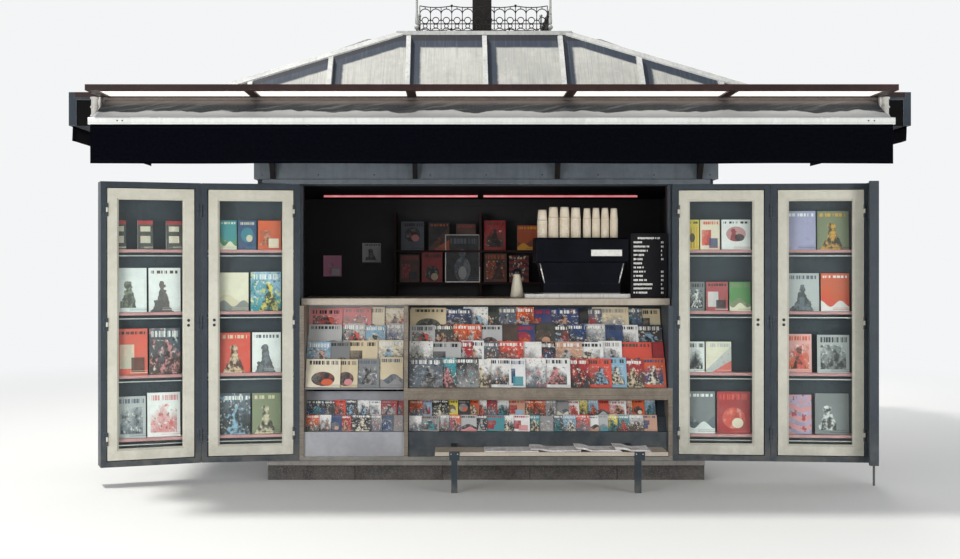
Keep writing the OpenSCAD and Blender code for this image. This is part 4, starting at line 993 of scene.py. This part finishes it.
def keyholes():
    """Two dark round plates, one over the other, at the lock stile of each door."""
    profile = [(0, 0.0), (0.0105, 0.0), (0.0105, 0.0015), (0.007, 0.0028), (0.0025, 0.0028), (0.0, 0.0012)]
    local, faces = turned_solid(profile, 18)
    for number in LEAVES:
        origin, right, inward = leaf_axes(number)
        lock = origin + right * (LEAF_W - LOCK_STILE if number in (1, 3) else LOCK_STILE)
        parts = [(placed(local, lock - inward * out + UP * z, right, UP, -inward), faces)
                 for z, out in ((1.147, 0.0042), (1.112, 0.0002))]
        weld(piece(f"keyholes_{number}", *joined(parts), "black_plastic", f"door_{number}"))


case_prints()
shelf_rails()
fold_gaskets()
keyholes()


# ---------------------------------------------------------------- racks
PAPERS = ("white white white smoke night slate white skin orange teal crimson sky white ash coral navy"
          " lemon").split()
MUTED = "smoke umber moss night white skin ash slate orange night sand navy".split()
PALE = "white cream ash sky sand rose grey".split()
INKS = "night umber slate night navy umber moss night crimson smoke".split()
ACCENTS = "skin smoke cream teal rose ash sky orange sand coral skin".split()
DRAWINGS = ["photo"] * 8 + ["plate"] * 4 + ["blocks", "sun", "hills"]
ROW_H, LOW_ROW_H, STEP_D, RACK_LEAN, END_GAP = 0.119, 0.100, 0.080, 0.38, 0.006
RACK_X, LOW_RACK_X, DISPLAY_X = (-0.558, 1.302), (-0.558, 1.240), (-1.302, -0.590)


def rack_row(x0, x1, front, foot, height, spacing, papers=PAPERS):
    """One shingled row: each cover overlaps the next one's left part, turned a little so that the
    covers lie in parallel planes. What is left over is spread between them."""
    rows, x, end = [], x0 + END_GAP, x1 - END_GAP
    while x + height * 0.6 < x1:
        broad = rng.random() < 0.22
        width = height * (0.74 + 0.10 * rng.random()) * (1.45 if broad else 1.0)
        step = spacing[0] + (spacing[1] - spacing[0]) * rng.random() + 0.3 * height * broad
        paper, ink, accent = (names[rng.integers(len(names))] for names in (papers, INKS, ACCENTS))
        rows.append(dict(
            origin=np.array([x, front + 0.036, foot + 0.0008]), right=(1.0, -0.0085 / spacing[0], 0.0),
            up=(0.0, RACK_LEAN, 1.0), width=min(width, end - x),
            height=height * (0.94 + 0.08 * rng.random()), thick=0.003 + 0.003 * rng.random(),
            paper=paper, ink=ink, accent=accent, kind=DRAWINGS[rng.integers(len(DRAWINGS))],
            seed=round(0.51 + 0.48 * rng.random(), 3)))
        x += step
    spare = end - rows[-1]["origin"][0] - rows[-1]["width"]
    for k, cover in enumerate(rows):
        cover["origin"][0] += spare * k / (len(rows) - 1)
    return rows


# Four tall rows over two low ones, each row higher and further back than the one under it.
rack, display = [], []
for row in range(4):
    spot = (-1.152 + STEP_D * row, 0.655 + ROW_H * row, 0.222)
    rack += rack_row(*RACK_X, *spot, (0.085, 0.150), MUTED if row > 1 else PAPERS)
    display += rack_row(*DISPLAY_X, *spot, (0.11, 0.2), PALE)
for row in range(2):
    spot = (-1.142 + STEP_D * row, 0.340 + LOW_ROW_H * row, 0.120)
    rack += rack_row(*LOW_RACK_X, *spot, (0.060, 0.090))
    display += rack_row(*DISPLAY_X, *spot, (0.065, 0.092))
booklets("rack_magazines", rack)
booklets("display_magazines", display)

BENCH_TOP, BENCH_EDGE, PAPER_DEPTH, PAGE_GAP = 0.2846, -1.766, 0.215, 0.0006


def newspapers():
    """Folded newspapers on the bench, from left to right: each is a flat loop round its fold. Its
    left end rests on the pile before and comes down over 80 mm by 3d^2 - 2d^3; an upper one lifts
    at both ends by (2u - 1)^4, and the top one's free corner curls."""
    u, t = np.meshgrid(np.linspace(0, 1, 34), np.linspace(0, 1, 10))
    faces = shell_faces(*u.shape)[0]
    parts, places, rest_on, before = [], [], 0.0, -1.0
    for x0, x1, count in ((-0.033, 0.330, 1), (0.283, 0.620, 2), (0.590, 0.890, 2), (0.850, 1.088, 2)):
        z = BENCH_TOP
        for layer in range(count):
            thick = 0.0042 + 0.001 * rng.random()
            shift = rng.uniform(-0.006, 0.006, 2)
            x = x0 + (x1 - x0) * u + shift[0]
            y = BENCH_EDGE + PAPER_DEPTH * t + shift[1]
            down = np.clip((before - x) / 0.08 + 1, 0, 1)
            lift = rest_on * down ** 2 * (3 - 2 * down) + 0.0022 * layer * np.abs(2 * u - 1) ** 4
            lift += 0.003 * (layer == count - 1) * u ** 6 * t ** 2
            sheets = [np.stack([x, y, z + rise + lift], -1).reshape(-1, 3) for rise in (thick, 0.0)]
            parts.append((np.concatenate(sheets), faces))
            places.append(np.tile(sheets[0][:, :2], (2, 1)) + layer * 0.37)
            z += thick + PAGE_GAP
        rest_on, before = z - BENCH_TOP + 0.0062, x1 + 0.008
    soften(piece("newspapers", *joined(parts), "newsprint", uv=np.concatenate(places)), 0.0012)


newspapers()


# ---------------------------------------------------------------- counter
CUP_FOOT, CUP_BODY, RIM_PITCH, MACHINE_FRONT, BOARD_FACE = 1.7352, 0.085, 0.0125, -0.9790, -1.001
LARGE_CUPS, SMALL_CUPS = (0.205, 0.226, 0.226, 0.221), (0.217, 0.219, 0.219, 0.217)
SILVER_X, BOARD_PITCH = ((0.398, 0.431), (1.007, 0.974)), 0.0305


def cup_stack(radius, top_radius, height):
    """Profile of nested cups with their rims down: a bead at each rim, the wall going in by half a
    millimetre to the next, then the top cup's tapering wall and its sunk base."""
    rims = int((height - CUP_BODY) / RIM_PITCH)
    pitch = (height - CUP_BODY) / rims
    line = [(0.0, 0.001), (radius - 0.004, 0.001)]
    for k in range(rims + 1):
        z = k * pitch
        line += [(radius - 0.0012, z), (radius + 0.0006, z + 0.0012), (radius + 0.0006, z + 0.0030),
                 (radius - 0.0016, z + 0.0042)]
    start, neck = rims * pitch + 0.0046, radius - 0.0016
    for k in np.linspace(0, 1, 6)[1:]:
        line.append((neck + (top_radius - neck) * k, start + (height - start) * k))
    return line + [(top_radius - 0.0018, height), (top_radius - 0.0022, height - 0.005),
                   (0.0, height - 0.005)]


def cups():
    """Eight stacks of cups on the coffee machine: four large, four small."""
    parts = []
    for start, pitch, radius, top, heights in ((0.420, 0.082, 0.0375, 0.0300, LARGE_CUPS),
                                               (0.749, 0.066, 0.0300, 0.0225, SMALL_CUPS)):
        for k, height in enumerate(heights):
            centre = (start + pitch * k, -0.90 + rng.uniform(-0.004, 0.004), CUP_FOOT)
            parts.append(turned_solid(cup_stack(radius, top, height), 28, centre))
    made = weld(piece("paper_cups", *joined(parts), "paper_cup", smooth=True))
    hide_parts("cup_stacks")


def carafe():
    """Enamel jug turned on its axis, with a dark collar and lid."""
    jug = [(0, 0), (0.046, 0), (0.050, 0.004), (0.050, 0.014), (0.047, 0.030), (0.040, 0.080),
           (0.032, 0.130), (0.0265, 0.160), (0.0255, 0.172), (0.0, 0.172)]
    collar = [(0.0, 0.172), (0.030, 0.172), (0.031, 0.176), (0.031, 0.190), (0.027, 0.196), (0.022, 0.206),
              (0.010, 0.212), (0.008, 0.218), (0.011, 0.222), (0.008, 0.227), (0.0, 0.228)]
    parts = [turned_solid(profile, 32, (0.240, -0.80, 1.2952)) for profile in (jug, collar)]
    points, faces = joined(parts)
    dark = np.arange(len(faces)) >= len(parts[0][1])
    made = weld(piece("serving_jug", points, faces, "cream_enamel", second=("black_plastic", dark),
                      smooth=True))
    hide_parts("carafe")


def machine_trim():
    """Slanted silver strips, the bare pale plate and the tray's slots of the coffee machine."""
    (points, faces), (more, others) = (
        tube(np.linspace((top, MACHINE_FRONT, 1.547), (foot, MACHINE_FRONT, 1.404), 4), 0.0045)
        for top, foot in SILVER_X
    )
    faces = faces + [[k + len(points) for k in face] for face in others]
    piece("machine_strips", np.concatenate([points, more]), faces, "strip_silver", smooth=True)
    plate = boxes((0.770, -0.9935, 1.601), (0.995, -0.9898, 1.647))
    soften(piece("machine_plate", *plate, "chalk"), 0.0015)
    x = np.arange(0.32, 1.03, 0.022)
    x = x[(x < 0.425) | (x > 0.985), None]
    low = np.hstack([x, 0 * x - 0.982, 0 * x + 1.3252])
    piece("tray_slots", *boxes(low, low + (0.008, 0.060, 0.0012)), "black_plastic")


def menu_marks():
    """Menu board marks: a heading, thirteen rows of dashes and short right-hand price bars."""
    low, high = [], []

    def mark(x, z, width, height):
        low.append((x, BOARD_FACE - 0.0008, z - height))
        high.append((x + width, BOARD_FACE + 0.0004, z))

    left, right, top = 1.078, 1.302, 1.738
    for row in range(14):
        z = top - BOARD_PITCH * row
        x = left + (0.03 if row == 0 else 0.0)
        end = left + (0.19 if row == 0 else 0.055 + 0.075 * rng.random())
        while x < end:
            step = 0.006 + 0.004 * rng.random()
            mark(x, z, step, 0.012 + 0.003 * rng.random())
            x += step + (0.0025 if rng.random() < 0.8 else 0.009)
        if row not in (0, 6, 7):
            for x in (right - 0.024, right - 0.014)[:1 + int(rng.random() < 0.8)]:
                mark(x, z, 0.006, 0.014)
    piece("menu_marks", *boxes(low, high), "chalk")


cups()
carafe()
machine_trim()
menu_marks()


# ---------------------------------------------------------------- inside
# Left, foot, width, height and depth from the front in millimetres, paper, ink, accent and drawing.
BACK_COVERS = (
    "-290 1382 290 405 860 night slate ash vase; 330 1660 180 215 870 rust brown amber hills; "
    "-690 1382 170 240 900 brown crimson night blocks; -500 1382 180 260 880 crimson night sand sun; "
    "40 1382 200 250 900 brown rust night plate; 260 1382 170 230 880 night crimson sand waves; "
    "-680 1660 200 250 900 slate night rose sun; -440 1660 180 240 890 night brown rust slope; "
    "-200 1660 170 230 900 brown night crimson hills; 40 1660 190 260 900 crimson brown night plate; "
    "520 1660 180 240 900 night slate rust blocks; -620 900 190 260 900 grey night sand vase; "
    "-300 900 190 260 900 brown rust sand sun; 80 900 190 260 900 slate sky sand hills; "
    "380 900 190 260 900 rust brown cream waves; -1374 1430 160 185 1106 blush blush white blocks; "
    "-1030 1555 165 170 1106 white ash grey plate"
)


def back_covers():
    """Books, framed covers and boxes on the shelves behind the counter, and two cards on the wall."""
    rows = []
    for (left, foot, width, height, depth), (paper, ink, accent, kind) in read_covers(BACK_COVERS):
        card = depth > 1.1
        rows.append(dict(
            origin=(left, depth, foot + 0.0006), right=(1.0, 0.0, 0.0),
            up=(0.0, 0.0 if card else 0.12, 1.0), width=width, height=height,
            thick=0.002 if card else 0.012, paper=paper, ink=ink, accent=accent, kind=kind,
            seed=round(rng.random(), 3)))
    booklets("back_covers", rows)


def picture_frame():
    """Thin pale frame round the tall cover on the back shelf: four mitred bars, leaning with it."""
    left, foot, width, height, y, bar = -0.296, 1.3822, 0.302, 0.415, 0.846, 0.008
    outer = np.array([[0, 0], [width, 0], [width, height], [0, height]])
    inner = np.array([[bar, bar], [width - bar, bar], [width - bar, height - bar], [bar, height - bar]])
    rings = [np.stack([left + x, y + depth + 0.12 * z - 0.012, foot + z], -1)
             for (x, z), depth in ((outer.T, 0.0), (outer.T, 0.012), (inner.T, 0.012), (inner.T, 0.0))]
    faces = strip_faces(5, 4, wrap=True) % 16
    weld(piece("cover_frame", np.concatenate(rings), faces, "strip_silver"))


back_covers()
picture_frame()


# ---------------------------------------------------------------- fittings
def screws(name, centres, normal, radius=0.005, finish="black_plastic"):
    """Dome-headed screws: a flat rim, then a dome half as high as the radius, standing on the
    face."""
    rise, normal = radius * 0.5, np.array(normal, float)
    profile = [(0.0, 0.0), (radius, 0.0), (radius, 0.25 * rise), (0.8 * radius, 0.7 * rise),
               (0.45 * radius, rise), (0.0, rise)]
    local, faces = turned_solid(profile, 14)
    side = across_from(normal)
    parts = [(placed(local, centre, side, np.cross(normal, side), normal), faces) for centre in centres]
    weld(piece(name, *joined(parts), finish, smooth=True))


FRONT = (0, -1, 0)
screws("bar_screws", [(x, -2.3502, 2.443) for x in (-2.345, -2.313, 2.361, 2.398)], FRONT)
screws("clip_screws", [(x + dx, -1.7842, 0.272) for x in (-0.23, 1.01) for dx in (-0.022, 0.022)],
       FRONT, 0.004, "strip_silver")
screws("fascia_screws", [(x, -1.1702, z) for x in np.linspace(-1.60, 1.60, 9) for z in (2.18, 2.60)],
       FRONT, 0.006, "case_paint")


def cresting_studs():
    """Small domed studs over the crossings of the railing's scrolls, on each panel's outer face."""
    bays, half, out = 12, 0.487, 0.514
    spots = [(half * (2 * k / bays - 1), z) for k in range(bays + 1) for z in (3.340, 3.412)]
    for turn, (c, s) in enumerate(((1, 0), (0, 1), (-1, 0), (0, -1))):
        face = [(x * c + out * s, x * s - out * c, z) for x, z in spots]
        screws(f"cresting_studs_{turn + 1}", face, (s, -c, 0), 0.006, "black_iron")


cresting_studs()


# ---------------------------------------------------------------- floor, light and camera
WHITE = "#f4f5f6"


def studio():
    """Pale floor, white surroundings for camera, glass and gloss, and soft lamps."""
    tree, shader = new_material("studio_floor")
    fill(shader, {"Base Color": "#e2e0db", "Roughness": 0.9})
    reach = calc("LENGTH", stretch(here(tree), (1.0, 0.8, 1.0)), kind="VectorMath", output="Value")
    far = ease(reach, 4.2, 10.0) * ray(tree, "Camera")
    share(far, shader, add(tree, "Emission", Color=WHITE, Strength=1.0),
          tree.nodes["Material Output"].inputs["Surface"])
    mesh = bpy.data.meshes.new("studio_floor")
    mesh.from_pydata([(-60, -60, 0), (60, -60, 0), (60, 60, 0), (-60, 60, 0)], [], [(0, 1, 2, 3)])
    mesh.materials.append(FINISH["studio_floor"])
    floor = stand("studio_floor", mesh)
    floor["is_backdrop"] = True

    scene = bpy.context.scene
    scene.world = bpy.data.worlds.new("studio")
    scene.world.use_nodes = True
    tree = scene.world.node_tree
    seen = total(*(ray(tree, kind) for kind in ("Camera", "Glossy", "Transmission")))
    soft = fill(tree.nodes["Background"], {"Color": "#e6edf5", "Strength": 0.62})
    share(seen, soft, add(tree, "Background", Color=WHITE, Strength=1.0),
          tree.nodes["World Output"].inputs["Surface"])

    for name, place, target, size, power in (
        ("key", (-4.2, -7.6, 1.3), (0, -1, 1.3), 2.4, 215),
        ("fill", (5.5, -7.2, 1.3), (0, -1, 1.3), 2.4, 165),
        ("roof", (-5.0, -2.0, 12.0), (0, 0, 3.0), 1.2, 1160),
        ("rear", (3.0, 9.0, 6.0), (0, 1, 1.6), 5.0, 420),
    ):
        lamp = bpy.data.lights.new(name, "AREA")
        lamp.size, lamp.energy = size, power
        made = stand(name, lamp)
        made.location = place
        x, y, z = np.subtract(target, place)
        made.rotation_euler = (math.atan2(math.hypot(x, y), -z), 0, math.atan2(-x, y))

    lens = bpy.data.cameras.new("camera")
    lens.lens, lens.sensor_width = 50, 36
    lens.shift_x, lens.shift_y = 0.034, -0.018
    camera = stand("camera", lens)
    camera.location = (-0.277, -10.70, 1.556)
    camera.rotation_euler = (math.radians(90), 0, 0)
    scene.camera = camera
    scene.view_settings.view_transform = "Standard"


studio()
low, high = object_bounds()
